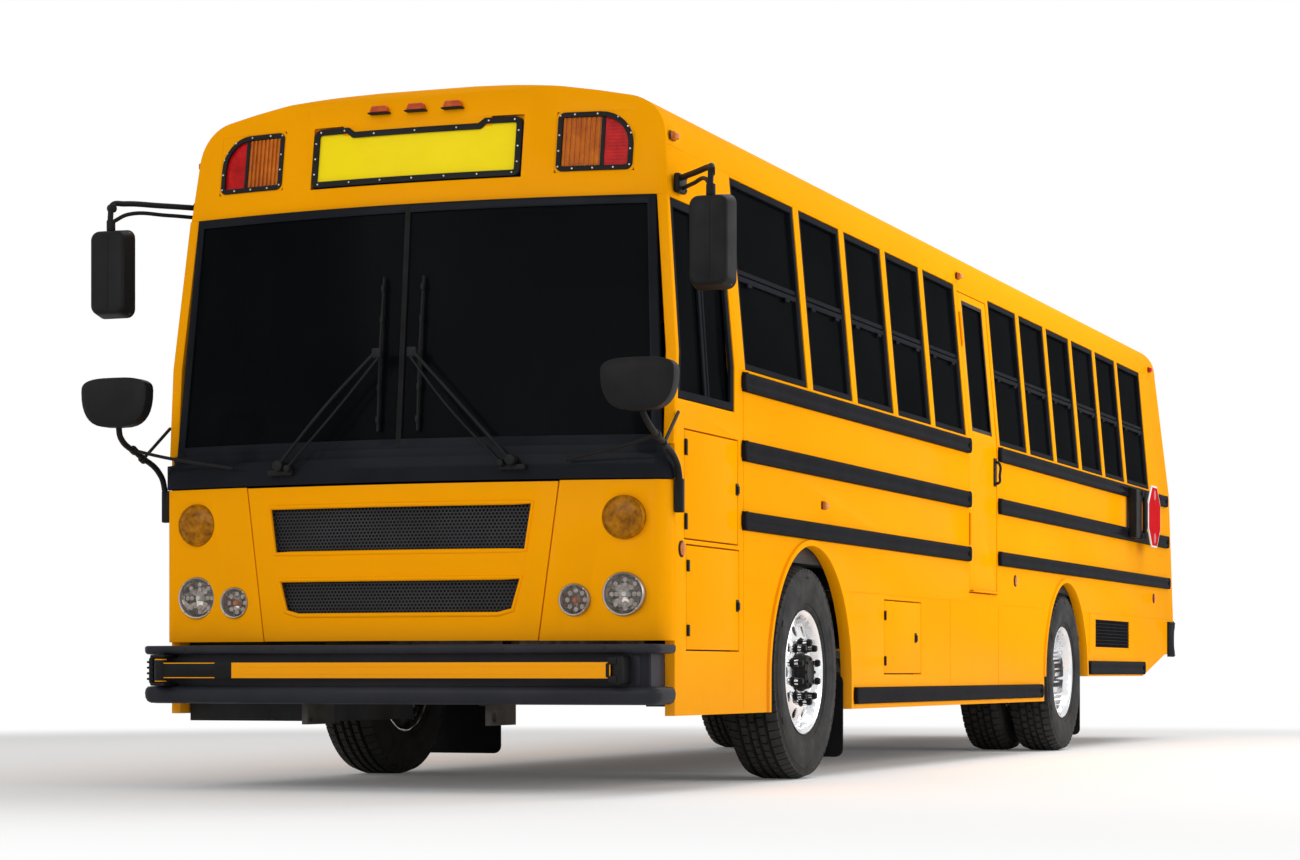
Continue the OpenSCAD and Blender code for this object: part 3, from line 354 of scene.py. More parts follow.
def cleaned(piece, gap=0.00002):
    whole(piece, "VERT")
    mesh.remove_doubles(threshold=gap)
    mesh.normals_make_consistent(inside=False)
    done()
    return piece


def box(x0, x1, y0, y1, z0, z1):
    middle = ((x0 + x1) / 2, (y0 + y1) / 2, (z0 + z1) / 2)
    mesh.primitive_cube_add(size=1, location=middle)
    piece = bpy.context.object
    piece.scale = (x1 - x0, y1 - y0, z1 - z0)
    return placed(piece)


def slab(x0, x1, y0, y1, z0, z1, *edge):  # a box with its edges rounded
    return rounded(box(x0, x1, y0, y1, z0, z1), *edge)


def drum(centre, axis, radius, depth, sides=24):
    mesh.primitive_cylinder_add(vertices=sides, radius=radius, depth=depth, location=centre)
    piece = bpy.context.object
    piece.rotation_mode = "QUATERNION"
    piece.rotation_quaternion = Vector(axis).to_track_quat("Z", "Y")
    return placed(piece)


def stud(centre, axis, radius, depth, sides, *edge):  # a drum with its edges rounded
    return rounded(drum(centre, axis, radius, depth, sides), *edge)


def screw(x, y, z, radius=0.0055, way=(0, -1, 0)):
    return stud((x, y, z), way, radius, 0.006, 10, 0.0015, 1, 40)


def traced(points, closed=False):  # a chain of corners drawn one after another, filled when closed
    mesh.primitive_plane_add(size=0.01, location=points[0])
    piece = placed(bpy.context.object)
    whole(piece, "VERT")
    mesh.merge(type="CENTER")
    for before, after in zip(points, points[1:]):
        pushed(*(Vector(after) - Vector(before)))
    done()
    if closed:
        ends = (0, len(piece.data.vertices) - 1)
        for vertex in piece.data.vertices:
            vertex.select = vertex.index in ends
        for edge in piece.data.edges:
            edge.select = False
        edit(piece, "VERT")
        mesh.edge_face_add()
        mesh.select_all(action="SELECT")
        mesh.edge_face_add()
        done()
    return piece


def drawnOut(points, way):  # a closed outline pushed along a direction into a solid
    piece = traced(points, closed=True)
    whole(piece)
    pushed(*way)
    done()
    return cleaned(piece)


def turned(points, centre, axis, steps):  # an open outline spun round an axis
    return around(traced(points), steps, centre, axis, dupli=False)


def around(piece, count, centre, axis, dupli=True):  # copies of the whole piece round an axis
    whole(piece, "VERT")
    mesh.spin(steps=count, dupli=dupli, angle=2 * pi, center=centre, axis=axis)
    done()
    return cleaned(piece, 0.00005)


def turnedAcross(place, side, profile, steps):  # profile of radius and distance outwards, on an axis along x
    x, y, z = place
    return turned([(x + side * a, y, z + r) for r, a in profile], place, (1, 0, 0), steps)


def turnedAlong(place, profile, steps):  # profile of radius and distance backwards, on an axis along y
    x, y, z = place
    return turned([(x + r, y + a, z) for r, a in profile], place, (0, 1, 0), steps)


def ringFrom(points, rim, *way):  # a flat ring inset from a closed outline, pushed into a solid
    piece = traced(points, closed=True)
    whole(piece)
    mesh.inset(thickness=rim)
    mesh.delete(type="FACE")
    mesh.select_all(action="SELECT")
    pushed(*way)
    done()
    return piece


def fourBars(a0, a1, b0, b1, wide):  # the sides of a rectangle, each as a0, a1, b0, b1
    return ((a0, a1, b0, b0 + wide), (a0, a1, b1 - wide, b1), (a0, a0 + wide, b0, b1), (a1 - wide, a1, b0, b1))


def rod(points, radius, bends=False):  # a round bar through the points
    curve = bpy.data.curves.new("rod", "CURVE")
    curve.dimensions = "3D"
    spline = curve.splines.new("BEZIER" if bends else "POLY")
    knots = spline.bezier_points if bends else spline.points
    knots.add(len(points) - 1)
    for knot, place in zip(knots, points):
        knot.co = place if bends else (*place, 1)
        if bends:
            knot.handle_left_type = knot.handle_right_type = "AUTO"
    curve.bevel_depth = radius
    curve.bevel_resolution = 4
    curve.resolution_u = 8
    curve.use_fill_caps = True
    piece = bpy.data.objects.new("rod", curve)
    bpy.context.collection.objects.link(piece)
    only(piece)
    bpy.ops.object.convert(target="MESH")
    return cleaned(bpy.context.object)


def joined(*parts):
    only(parts[0])
    for part in parts:
        part.select_set(True)
    bpy.ops.object.join()
    return bpy.context.object


def narrowed(piece, wanted, scale):
    pick(piece, wanted)
    bpy.ops.transform.resize(value=scale)
    done()
    return piece


def moved(piece, way):
    whole(piece, "VERT")
    bpy.ops.transform.translate(value=way)
    done()
    return piece


def copied(piece, way=None):
    twin = piece.copy()
    twin.data = piece.data.copy()
    bpy.context.collection.objects.link(twin)
    return moved(twin, way) if way else twin


def flipped(piece):  # the piece itself put on the other side of the bus
    piece.scale = (-1, 1, 1)
    whole(placed(piece))
    mesh.normals_make_consistent(inside=False)
    done()
    return piece


def mirrored(piece):  # a copy on the other side of the bus
    return flipped(copied(piece))


def settle(parts, name, finish, replaced=(), body="body", smooth=32, forward=noseY):
    piece = joined(*parts) if isinstance(parts, (list, tuple)) else parts
    if forward:
        moved(piece, (0, forward, 0))
    only(piece)
    piece.data.materials.clear()
    piece.data.materials.append(finishes[finish])
    bpy.ops.object.shade_smooth_by_angle(angle=radians(smooth))
    piece.name = piece.data.name = name
    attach(piece, body)
    if replaced:
        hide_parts(*replaced)
    return piece


def settlePair(parts, name, finish, replaced=(), body="body", smooth=32):  # the left one and its mirror image
    left = joined(*parts) if isinstance(parts, (list, tuple)) else parts
    right = mirrored(left)
    for piece, side in ((left, "left"), (right, "right")):
        nodes = [node.format(side) for node in replaced]
        settle(piece, name.format(side), finish, nodes, body.format(side), smooth)


def refined(node, finish, width, segments=2, angle=35, smooth=32, suffix="skin"):  # a softened copy of a part
    source = frame["nodes"][node]
    body = body_of(source)
    piece = copied(source)
    piece.parent = None
    whole(piece, "VERT")
    mesh.remove_doubles(threshold=0.00005)
    mesh.dissolve_limited(angle_limit=radians(0.4))
    done()
    if width:
        rounded(piece, width, segments, angle)
    body = body if isinstance(body, str) else body[0]
    settle(piece, node + "." + suffix, finish, [node], body, smooth, 0)


for name, look in looks.items():
    makeFinish(name, *look[1:])
makeFloorFinish()
setStudio()
print("finishes and studio ready:", len(finishes))


# the shell and running gear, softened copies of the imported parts

# finish, edge width in metres, bevel segments, nodes
shellParts = [
    ("bodyYellow", 0.004, 2, "left_side_wall right_side_wall left_emergency_door upper_access_door"
                             " lower_access_door battery_door"),
    ("bodyYellow", 0.0, 1, "roof"), ("bodyYellow", 0.005, 2, "front_corner_panels"),
    ("bodyYellow", 0.006, 2, "rear_wall rear_emergency_door"), ("bodyYellow", 0.003, 2, "crossing_arm"),
    ("blackPaint", 0.002, 2, "cowl"), ("blackPaint", 0.012, 3, "rear_bumper"),
    ("blackPaint", 0.004, 2, "entry_door_front_leaf entry_door_rear_leaf"),
    ("darkGlass", 0.0, 1, "windshield_glass window_glass entry_door_front_glass entry_door_rear_glass"
                          " left_emergency_door_glass rear_emergency_door_glass"),
    ("chassisBlack", 0.004, 2, "chassis_frame"), ("chassisBlack", 0.006, 2, "fuel_tank"),
    ("castIron", 0.005, 2, "front_axle rear_axle"), ("castIron", 0.004, 2, "left_knuckle right_knuckle"),
    ("exhaustSteel", 0.003, 1, "exhaust_pipe"), ("steel", 0.002, 1, "tie_rod"),
    ("rubber", 0.002, 1, "mud_flaps"), ("floorRubber", 0.004, 1, "floor"),
    ("plasticBlack", 0.006, 3, "stop_arm_bracket"), ("plainWhite", 0.01, 3, "front_roof_hatch rear_roof_hatch"),
]
for finish, width, segments, nodes in shellParts:
    for node in nodes.split():
        refined(node, finish, width, segments)
print("shell parts softened")


# front cap, sign board and warning lamps

cap = {"edge": 0.045, "lean": radians(9), "bow": 5.5, "foot": 2.572}
refined("front_cap", "bodyYellow", cap["edge"], 5, 40, 50)
print("front cap")


def capY(x, z):  # the cap's face
    bow = (cap["bow"] - sqrt(cap["bow"] ** 2 - x * x)) / cos(cap["lean"])
    return tan(cap["lean"]) * (z - cap["foot"]) + bow


def onCap(piece):  # bends a flat upright piece onto the cap's face, its own depth kept
    return bent(piece, lambda x, y, z: (x, capY(x, z) + y, z))


def inStrips(piece, step, onGrid=False):  # upright cuts, so that a flat piece can follow a bow
    across = [corner.co.x for corner in piece.data.vertices]
    low, high = min(across), max(across)
    x = step * (int(low / step) - 1) if onGrid else low + step
    while x < high:
        if x > low + 0.002:
            sliced(piece, (x, 0, 0), (1, 0, 0))
        x += step
    return piece


def capSlab(outline, depth0, depth1):
    return inStrips(drawnOut([(x, depth0, z) for x, z in outline], (0, depth1 - depth0, 0)), 0.05, True)


def capRing(outline, rim, depth0, depth1):
    ring = ringFrom([(x, depth0, z) for x, z in outline], rim, 0, depth1 - depth0, 0)
    return cleaned(inStrips(ring, 0.049))


def capScrews(places):
    return joined(*[screw(x, capY(x, z) - 0.0075, z, 0.0045) for x, z in places])


signBoard = {"halfWidth": 0.5, "low": 2.683, "high": 2.94, "dip": 0.022, "flat": 0.3, "rim": 0.026}


def signOutline(grow):
    s = signBoard
    w, low, high = s["halfWidth"] + grow, s["low"] - grow, s["high"] + grow
    r = max(0.025 + grow, 0.004)
    points = [(-w + r * (1 - cos(a)), low + r * (1 - sin(a))) for a in (0, 0.5, 1.1, 1.57)]
    points += [(-x, z) for x, z in reversed(points)]
    points += [(w, high - r), (w - 0.3 * r, high - 0.3 * r), (w - r, high)]
    points += [(s["flat"] + 0.03, high), (s["flat"], high - s["dip"])]
    return points + [(-x, z) for x, z in reversed(points[8:])]


settle(onCap(capSlab(signOutline(-0.02), 0.006, 0.03)), "front_sign.face", "signYellow", ["sign_boards"])
rim = rounded(capRing(signOutline(0.004), signBoard["rim"], -0.006, 0.02), 0.003, 2, 50)
settle(onCap(rim), "front_sign.frame", "plasticBlack")
bolts = [(x, signBoard["low"] + 0.01) for x in (-0.47, -0.31, -0.155, 0, 0.155, 0.31, 0.47)]
bolts += [(x, signBoard["high"] - 0.01) for x in (-0.47, -0.35, 0.35, 0.47)]
bolts += [(x, signBoard["high"] - 0.032) for x in (-0.2, 0, 0.2)]
bolts += [(s * 0.491, z) for s in (-1, 1) for z in (2.74, 2.81, 2.88)]
settle(capScrews(bolts), "front_sign.screws", "steel")
backing = inStrips(box(-0.36, 0.36, 0.0015, 0.01, 2.91, 2.956), 0.04)
settle(onCap(backing), "front_sign.lip", "bodyYellow")

pod = {"x": 0.833, "z": 2.818, "width": 0.336, "height": 0.262, "rim": 0.022, "split": 0.865, "corner": 1.014,
       "top": 2.958, "radii": (0.03, 0.03, 0.15, 0.03)}


def podOutline(grow):  # from the lower left corner; square inboard, a quarter round at the outer upper corner
    points = []
    turns = ((-1, -1, 180), (1, -1, 270), (1, 1, 0), (-1, 1, 90))
    for (sx, sz, start), radius in zip(turns, pod["radii"]):
        radius = max(radius + grow, 0.004)
        x = pod["x"] + sx * (pod["width"] / 2 + grow - radius)
        z = pod["z"] + sz * (pod["height"] / 2 + grow - radius)
        for i in range(9):
            a = radians(start + 90 * i / 8)
            points.append((x + radius * cos(a), z + radius * sin(a)))
    return points


podRim = onCap(rounded(capRing(podOutline(0.0), pod["rim"], -0.006, 0.03), 0.003, 2, 50))
divider = onCap(box(pod["split"] - 0.008, pod["split"] + 0.008, 0.002, 0.03, 2.7, 2.94))
heads = [(pod["x"] + sx * 0.157, pod["z"] + sz) for sx in (-1, 1) for sz in (-0.11, -0.04, 0.03)]
heads += [(pod["x"] - 0.157, 2.935), (0.74, 2.938), (0.84, 2.938), (0.93, 2.921), (0.975, 2.878)]
heads += [(x, 2.698) for x in (0.74, 0.83, 0.92)]
arc = [p for p in podOutline(0.002) if p[0] > pod["x"] + 0.005 and p[1] > pod["z"] - 0.03]
arc.sort(key=lambda p: p[0] - p[1])
arc += [(pod["corner"], arc[-1][1]), (pod["corner"], pod["top"]), (arc[0][0], pod["top"])]
corner = drawnOut([(x, 0.0015, z) for x, z in arc], (0, 0.01, 0))
lip = [onCap(capRing(podOutline(0.012), 0.016, 0.0015, 0.012)), onCap(corner)]


def podLens(outer):  # one side of the divider
    lens = capSlab(podOutline(-0.018), 0.008, 0.034)
    return onCap(sliced(lens, (pod["split"], 0, 0), (1, 0, 0), use_fill=True, clear_inner=outer,
                        clear_outer=not outer))


moulded = [drum((0.694 + 0.0215 * i, 0.006, pod["z"]), (0, 0, 1), 0.007, 0.214, 10) for i in range(8)]
amber = [podLens(False)] + [onCap(modified(rib, "TRIANGULATE")) for rib in moulded]
for parts, label, finish in (([podRim, divider], "frame", "plasticBlack"), (podLens(True), "red", "lensRed"),
                             (amber, "amber", "lensAmber"), (capScrews(heads), "screws", "steel"),
                             (lip, "lip", "bodyYellow")):
    settlePair(parts, "warning_lamp_{}." + label, finish)
print("sign and warning lamps")


# roof and side marker lamps

def capMarker(x, y, z):
    lens = box(x - 0.045, x + 0.045, y - 0.021, y + 0.021, z + 0.006, z + 0.038)
    narrowed(lens, lambda place, normal: normal.z > 0.9, (0.82, 0.6, 1))
    return slab(x - 0.05, x + 0.05, y - 0.024, y + 0.024, z, z + 0.008, 0.0035), rounded(lens, 0.008, 4)


feet, lenses = zip(*[capMarker(x, 0.062, 2.992) for x in (-0.178, 0, 0.178)])
settle(feet, "roof_markers.feet", "plasticBlack", ["lamps"])
settle(lenses, "roof_markers.lenses", "lensOrange")
print("roof markers")


# nose: grille door, mesh, bumper and lamps

nose = {"lead": -0.16, "bow": 5.0}


def noseFace(x, inset=0.0):  # y of the panels' face
    return nose["lead"] + nose["bow"] - sqrt((nose["bow"] - inset) ** 2 - x * x)


def onNose(piece, inset=0.0):
    return bent(piece, lambda x, y, z: (x, y + noseFace(x, inset), z))


refined("grille_door", "bodyYellow", 0.013, 4, 50, 40)

cell = {"wide": 0.017, "rise": 0.017 * sqrt(3), "wire": 0.0042}
openings = [[(-0.633, 1.249), (0.633, 1.249), (0.602, 1.041), (-0.602, 1.041)],
            [(-0.583, 0.927), (0.583, 0.927), (0.545, 0.786), (0.479, 0.768), (-0.479, 0.768), (-0.545, 0.786)]]


def repeated(piece, length, x, z):
    return modified(piece, "ARRAY", count=int(length / (x + z)) + 1, use_relative_offset=False,
                    use_constant_offset=True, constant_offset_displace=(x, 0, z))


sheets, lips = [], []
for outline in openings:  # one six-sided ring, repeated, trimmed to the opening and bowed with the door
    left, right = min(p[0] for p in outline), max(p[0] for p in outline)
    low, high = min(p[1] for p in outline), max(p[1] for p in outline)
    mesh.primitive_circle_add(vertices=6, radius=cell["wide"] / sqrt(3), fill_type="NGON",
                              location=(left, 0, low), rotation=(radians(90), 0, 0))
    ring = placed(bpy.context.object)
    whole(ring)
    mesh.inset(thickness=cell["wire"] / 2)
    mesh.delete(type="FACE")
    done()
    ring = joined(ring, copied(ring, (cell["wide"] / 2, 0, cell["rise"] / 2)))
    repeated(ring, right - left, cell["wide"], 0)
    repeated(ring, high - low, 0, cell["rise"])
    whole(ring, "VERT")
    mesh.remove_doubles(threshold=0.0003)
    done()
    middle = Vector((0, 0, (low + high) / 2))
    path = []
    for (ax, az), (bx, bz) in zip(outline, outline[1:] + outline[:1]):
        across = Vector((bz - az, 0, ax - bx))
        if across.dot(Vector((ax, 0, az)) - middle) < 0:
            across.negate()
        sliced(ring, (ax, 0, az), across, clear_outer=True)
        steps = max(1, int(abs(bx - ax) / 0.08))
        path += [(ax + (bx - ax) * i / steps, az + (bz - az) * i / steps) for i in range(steps)]
    modified(ring, "SOLIDIFY", thickness=0.0022, offset=0)
    ring = joined(ring, rod([(x, 0, z) for x, z in outline + outline[:1]], 0.004))
    sheets.append(onNose(ring, 0.026))
    lips.append(rod([(x, noseFace(x) + 0.004, z) for x, z in path + path[:1]], 0.011))
    print("grille mesh faces", len(ring.data.polygons))
settle(sheets, "grille_screen", "meshBlack", ["grille_mesh"], "grille_door", 20)
settle(lips, "grille_door.lips", "bodyYellow", body="grille_door")
seals = [box(-0.63, 0.63, 0.058, 0.062, 1.03, 1.26), box(-0.58, 0.58, 0.058, 0.062, 0.76, 0.935)]
for seal in seals:  # dark radiator seals behind the mesh
    whole(seal)
    mesh.subdivide(number_cuts=12)
    done()
    onNose(seal)
settle(seals, "grille_shroud", "rubber", body="grille_door")
print("grille")

bumper = {"lead": -0.27, "bow": 10.0, "reach": 1.178, "corner": 0.06, "back": 0.16}
# depth behind its face and height: rounded band below, groove, flange on top
bumperProfile = [(0.06, 0.381), (0.026, 0.383), (0.01, 0.392), (0.002, 0.408), (0.0, 0.43), (0.004, 0.446),
                 (0.014, 0.456), (0.052, 0.46), (0.052, 0.597), (0.012, 0.6), (0.003, 0.606), (0.0, 0.615),
                 (0.0, 0.63), (0.004, 0.636), (0.012, 0.638), (0.086, 0.638)]


def bumperFace(x):
    return bumper["lead"] + bumper["bow"] - sqrt(bumper["bow"] ** 2 - x * x)


reach = bumper["reach"]
face, middle, spread = bumperFace(reach), bumperFace(0), asin(reach / bumper["bow"])
wall = traced([(-reach + d * sin(spread), face + d * cos(spread), z) for d, z in bumperProfile])
whole(wall, "VERT")
mesh.spin(steps=40, angle=2 * spread, center=(0, middle + bumper["bow"], 0), axis=(0, 0, -1))
done()
for side in (-1, 1):  # the ends wrap round a corner and run back along the sides
    pick(wall, lambda a, b: min(side * a.x, side * b.x) > reach - 0.012 and abs(a.x - b.x) < 0.01, "EDGE")
    mesh.spin(steps=8, angle=side * (pi / 2 - spread), center=(side * reach, face + bumper["corner"], 0),
              axis=(0, 0, -1))
    pushed(0, bumper["back"], 0)
    done()
bumperParts = [modified(cleaned(wall, 0.0004), "SOLIDIFY", thickness=0.006, offset=-1)]
inner = bumperFace(1.12)
bumperParts += [slab(x - 0.02, x + 0.02, inner + 0.05, inner + 0.1, 0.4, 0.62, 0.004) for x in (-1.12, 1.12)]
bumperParts.append(box(-0.9, 0.9, middle + 0.1, middle + 0.16, 0.46, 0.6))
bumperParts += [screw(x, bumperFace(x) - 0.002, 0.622, 0.007) for x in (-1.0, -0.55, 0.55, 1.0)]
settle(bumperParts, "bumper_front.shell", "bumperBlack", ["front_bumper"], smooth=40)

pinX, pinY = -1.105, -0.247
housing = [slab(pinX - 0.036, pinX + 0.036, pinY - 0.034, pinY + 0.1, z, z + 0.013, 0.005, 3)
           for z in (0.46, 0.584)]
housing += [stud((pinX, pinY, 0.6), (0, 0, 1), 0.017, 0.012, 20),
            slab(-1.178, pinX - 0.045, -0.235, -0.13, 0.466, 0.589, 0.014, 4),
            slab(1.056, 1.1, -0.262, -0.13, 0.47, 0.586, 0.01, 3)]
housing += [slab(-1.182, pinX - 0.043, -0.238, -0.15, z, z + 0.01) for z in (0.485, 0.51, 0.535, 0.56)]
housing += [slab(1.035, 1.075, -0.268, -0.256, z, z + 0.03, 0.004) for z in (0.474, 0.552)]
settle(housing, "crossing_arm.housing", "plasticBlack")
fittings = [slab(-0.83, -0.74, -0.2645, -0.2295, 0.49, 0.566, 0.008, 3),
            stud((pinX, pinY, 0.528), (0, 0, 1), 0.0275, 0.098, 24, 0.004),
            slab(pinX, -0.8, -0.2625, -0.2315, 0.493, 0.563, 0.006),
            slab(1.02, 1.046, -0.2635, -0.2305, 0.492, 0.564, 0.01, 3)]
settle(fittings, "crossing_arm.fittings", "plasticBlack", body="crossing_arm")
beads = [slab(-0.7, 0.98, -0.2632, -0.261, z, z + 0.004, 0.001, 1) for z in (0.51, 0.542)]
settle(beads, "crossing_arm.beads", "bodyYellow", body="crossing_arm")
print("bumper and crossing arm")


def roundLamp(x, z, radius, finish, tag):
    place = (x, noseFace(x), z)
    clear = finish == "lensClear"
    rim = [turnedAlong(place, [(radius + r, a) for r, a in (
        (-0.011, 0.002), (-0.008, -0.012), (-0.003, -0.015), (0.0, -0.01), (0.001, 0.02))], 64)]
    bowl = [turnedAlong(place, [(0.014, 0.055)] + [(r * radius, a) for r, a in (
        (0.45, 0.05), (0.75, 0.03), (0.93, 0.004))], 48)]
    glass = turnedAlong(place, [(r * radius, a) for r, a in (
        (0.96, -0.008), (0.8, -0.017), (0.55, -0.023), (0.28, -0.0265), (0.0, -0.0275))], 64)
    settle(glass, tag + ".lens", finish)
    for a in (pi / 4, 3 * pi / 4, 5 * pi / 4, 7 * pi / 4):
        rim.append(screw(x + 0.94 * radius * cos(a), place[1] - 0.014, z + 0.94 * radius * sin(a), 0.005))
    if clear:
        holder = turnedAlong(place, ((0.0, 0.0), (0.01, -0.002), (0.014, 0.012), (0.014, 0.05)), 24)
        settle(holder, tag + ".bulb", "lensAmber" if radius < 0.08 else "plainWhite")
        bowl += [drum((x + r * cos(k * pi / 4), place[1] + 0.02, z + r * sin(k * pi / 4)),
                      (0, 1, 0), 0.011, 0.006, 6)
                 for r in (0.04, 0.062) for k in range(8) if r < radius - 0.02]
    settle(bowl, tag + ".reflector", "reflector")
    settle(rim, tag + ".rim", "steel" if clear else finish)


for side, tag in ((1, "left"), (-1, "right")):
    roundLamp(side * 1.026, 1.18, 0.094, "lensAmberPlain", "turn_lamp_" + tag)
    roundLamp(side * 1.026, 0.853, 0.094, "lensClear", "headlamp_" + tag)
    roundLamp(side * 0.816, 0.829, 0.07, "lensClear", "inner_lamp_" + tag)
print("nose lamps")


# windshield bar, wipers and mirrors

glassPlane = {"lead": -0.12, "foot": 1.505, "rake": radians(5.6)}


def glassY(x, z):
    bow = nose["bow"] - sqrt(nose["bow"] ** 2 - x * x)
    return glassPlane["lead"] + (z - glassPlane["foot"]) * tan(glassPlane["rake"]) + bow


low, high = 1.5, 2.568
bar = traced([(x, glassY(0, low) - proud, low) for x, proud in ((0.012, 0.004), (0.0, 0.009), (-0.012, 0.004))])
whole(bar, "EDGE")
pushed(0, glassY(0, high) - glassY(0, low), high - low)
done()
settle(modified(cleaned(bar), "SOLIDIFY", thickness=0.004, offset=-1), "windshield_bar", "rubber")

for side, tag in ((1, "left"), (-1, "right")):
    base, joint, x = (side * 0.555, -0.185, 1.428), (side * 0.086, -0.166, 1.915), side * 0.095
    second = base[0] - side * 0.045
    parts = [stud((base[0], -0.172, base[2]), (0, 1, 0), 0.024, 0.046, 24, 0.006, 3),
             stud((second, -0.176, base[2] - 0.012), (0, 1, 0), 0.016, 0.036, 20, 0.005, 3),
             rod([base, (side * 0.3, -0.19, 1.7), joint], 0.0075, True),
             rod([(second, -0.185, 1.418), (side * 0.27, -0.188, 1.66), (side * 0.07, -0.162, 1.895)],
                 0.006, True),
             slab(side * 0.084 - 0.022, side * 0.084 + 0.022, -0.172, -0.15, 1.885, 1.93, 0.006, 3),
             slab(base[0] - 0.06, base[0] + 0.06, -0.17, -0.14, 1.385, 1.41, 0.006, 3)]

    def clear(z, away):
        return glassY(x, z) - 0.012 + away

    parts.append(rod([(x, clear(z, -0.018 + 0.012 * abs(z - 1.91) / 0.34), z)
                      for z in (1.57, 1.7, 1.82, 1.91, 2.0, 2.12, 2.25)], 0.0055, True))
    parts += [slab(x - 0.008, x + 0.008, clear(z, -0.02), clear(z, 0.004), z - 0.014, z + 0.014)
              for z in (1.62, 1.76, 1.91, 2.06, 2.2)]
    parts.append(rod([(x, clear(z, 0.004), z) for z in (1.572, 1.74, 1.91, 2.08, 2.248)], 0.004, True))
    settle(parts, "wiper_" + tag, "plasticBlack", ["wipers"])
print("wipers")


def highMirror():
    shell = box(1.341, 1.537, -0.155, -0.065, 2.125, 2.525)
    narrowed(shell, lambda place, normal: normal.y < -0.9, (0.86, 1, 0.93))
    pick(shell, lambda a, b: abs(a.y - b.y) > 0.05, "EDGE")
    mesh.bevel(offset=0.04, segments=6, affect="EDGES")
    done()
    pick(shell, lambda place, normal: normal.y < -0.99 and place.y < -0.15)
    mesh.bevel(offset=0.018, segments=4, affect="EDGES")
    done()
    pick(shell, lambda place, normal: normal.y > 0.99 and place.y > -0.07)
    mesh.inset(thickness=0.012)
    pushed(0, -0.022, 0)
    done()
    head = [shell, slab(1.43, 1.448, -0.1575, -0.15, 2.16, 2.49, 0.002),
            slab(1.353, 1.525, -0.091, -0.084, 2.235, 2.242, 0.001, 1)]
    stay = [rod([(1.439, -0.115, 2.47), (1.439, -0.115, 2.59), (1.439, -0.1, 2.635), (1.41, -0.045, 2.648),
                 (1.3, 0.09, 2.653), (1.172, 0.232, 2.655)], 0.013, True),
            rod([(1.432, -0.104, 2.56), (1.39, -0.04, 2.6), (1.28, 0.12, 2.612), (1.172, 0.256, 2.612)],
                0.009, True),
            stud((1.439, -0.112, 2.54), (0, 0, 1), 0.02, 0.05, 20, 0.005, 3),
            stud((1.439, -0.104, 2.62), (1, 0.4, 0), 0.02, 0.03, 20, 0.005, 3),
            slab(1.16, 1.19, 0.19, 0.29, 2.592, 2.676, 0.01, 3)]
    stay += [stud((1.188, y, z), (1, 0, 0), 0.008, 0.01, 6, 0.002)
             for y in (0.205, 0.275) for z in (2.607, 2.66)]
    return head, slab(1.355, 1.523, -0.09, -0.0865, 2.14, 2.51, 0.0012, 1), stay


def crossMirror():
    outline = []
    for a in range(0, 360, 10):  # flat rounded top, fuller below
        c, s = cos(radians(a)), sin(radians(a))
        rise = 0.058 * abs(s) ** 0.7 if s > 0 else -0.16 * abs(s) ** 0.85
        outline.append((1.232 + 0.163 * abs(c) ** 0.62 * (1 if c > 0 else -1), -0.44, 1.758 + rise))
    head = drawnOut(outline, (0, 0.07, 0))
    pick(head, lambda place, normal: normal.y < -0.9)
    mesh.inset(thickness=0.03)
    bpy.ops.transform.translate(value=(0, -0.012, 0))
    done()
    pick(head, lambda place, normal: normal.y > 0.9)
    mesh.inset(thickness=0.012)
    pushed(0, -0.008, 0)
    done()
    profile = ((0.13, -0.378), (0.11, -0.365), (0.075, -0.356), (0.035, -0.3525), (0.0, -0.352))
    dome = bent(turnedAlong((1.232, 0, 1.7), profile, 48), lambda x, y, z: (x, y, 1.7 + (z - 1.7) * 0.72))
    stay = [rod([(1.232, -0.395, 1.66), (1.236, -0.385, 1.6), (1.246, -0.35, 1.555), (1.246, -0.2, 1.494),
                 (1.246, 0.0, 1.41), (1.246, 0.03, 1.36), (1.246, 0.045, 1.23)], 0.0135, True),
            rod([(1.246, -0.24, 1.51), (1.1, -0.205, 1.475), (0.8, -0.14, 1.424)], 0.0075, True),
            rod([(1.246, -0.16, 1.475), (1.232, 0.06, 1.63)], 0.0075),
            slab(1.222, 1.262, 0.03, 0.06, 1.2, 1.345, 0.006, 3),
            stud((1.232, -0.385, 1.645), (0, 0, 1), 0.022, 0.05, 20, 0.006, 3)]
    stay += [stud((1.246, y, z), (0, 0.35, -0.15), 0.0185, 0.03, 20, 0.004, 3)
             for y, z in ((-0.24, 1.51), (-0.16, 1.476))]
    return rounded(head, 0.012, 4, 40), dome, stay


for build, name in ((highMirror, "high_mirror_{}."), (crossMirror, "cross_mirror_{}.")):
    labels = (("head", "plasticBlack"), ("glass", "mirrorGlass"), ("stay", "plasticBlack"))
    for parts, (label, finish) in zip(build(), labels):
        settlePair(parts, name + label, finish, ["mirrors"])
print("mirrors")


# wheels: tyres with cut tread, polished rims, hubs and nuts

wheel = {"z": 0.52, "front": (1.07, 1.975), "rear": (1.08, 7.61), "twin": 0.335, "bolts": 0.1429}
# half outline of the tyre, across from its middle and out from the axle
tyreHalf = [(0.0, 0.508), (0.012, 0.508), (0.015, 0.496), (0.025, 0.496), (0.028, 0.508), (0.06, 0.507),
            (0.063, 0.495), (0.073, 0.495), (0.076, 0.506), (0.104, 0.504), (0.118, 0.498), (0.127, 0.486),
            (0.131, 0.47), (0.1335, 0.468), (0.1335, 0.462), (0.1375, 0.45), (0.1395, 0.425), (0.1395, 0.4),
            (0.137, 0.392), (0.137, 0.386), (0.134, 0.36), (0.127, 0.335), (0.122, 0.332), (0.121, 0.322),
            (0.115, 0.312), (0.108, 0.304), (0.1, 0.303)]
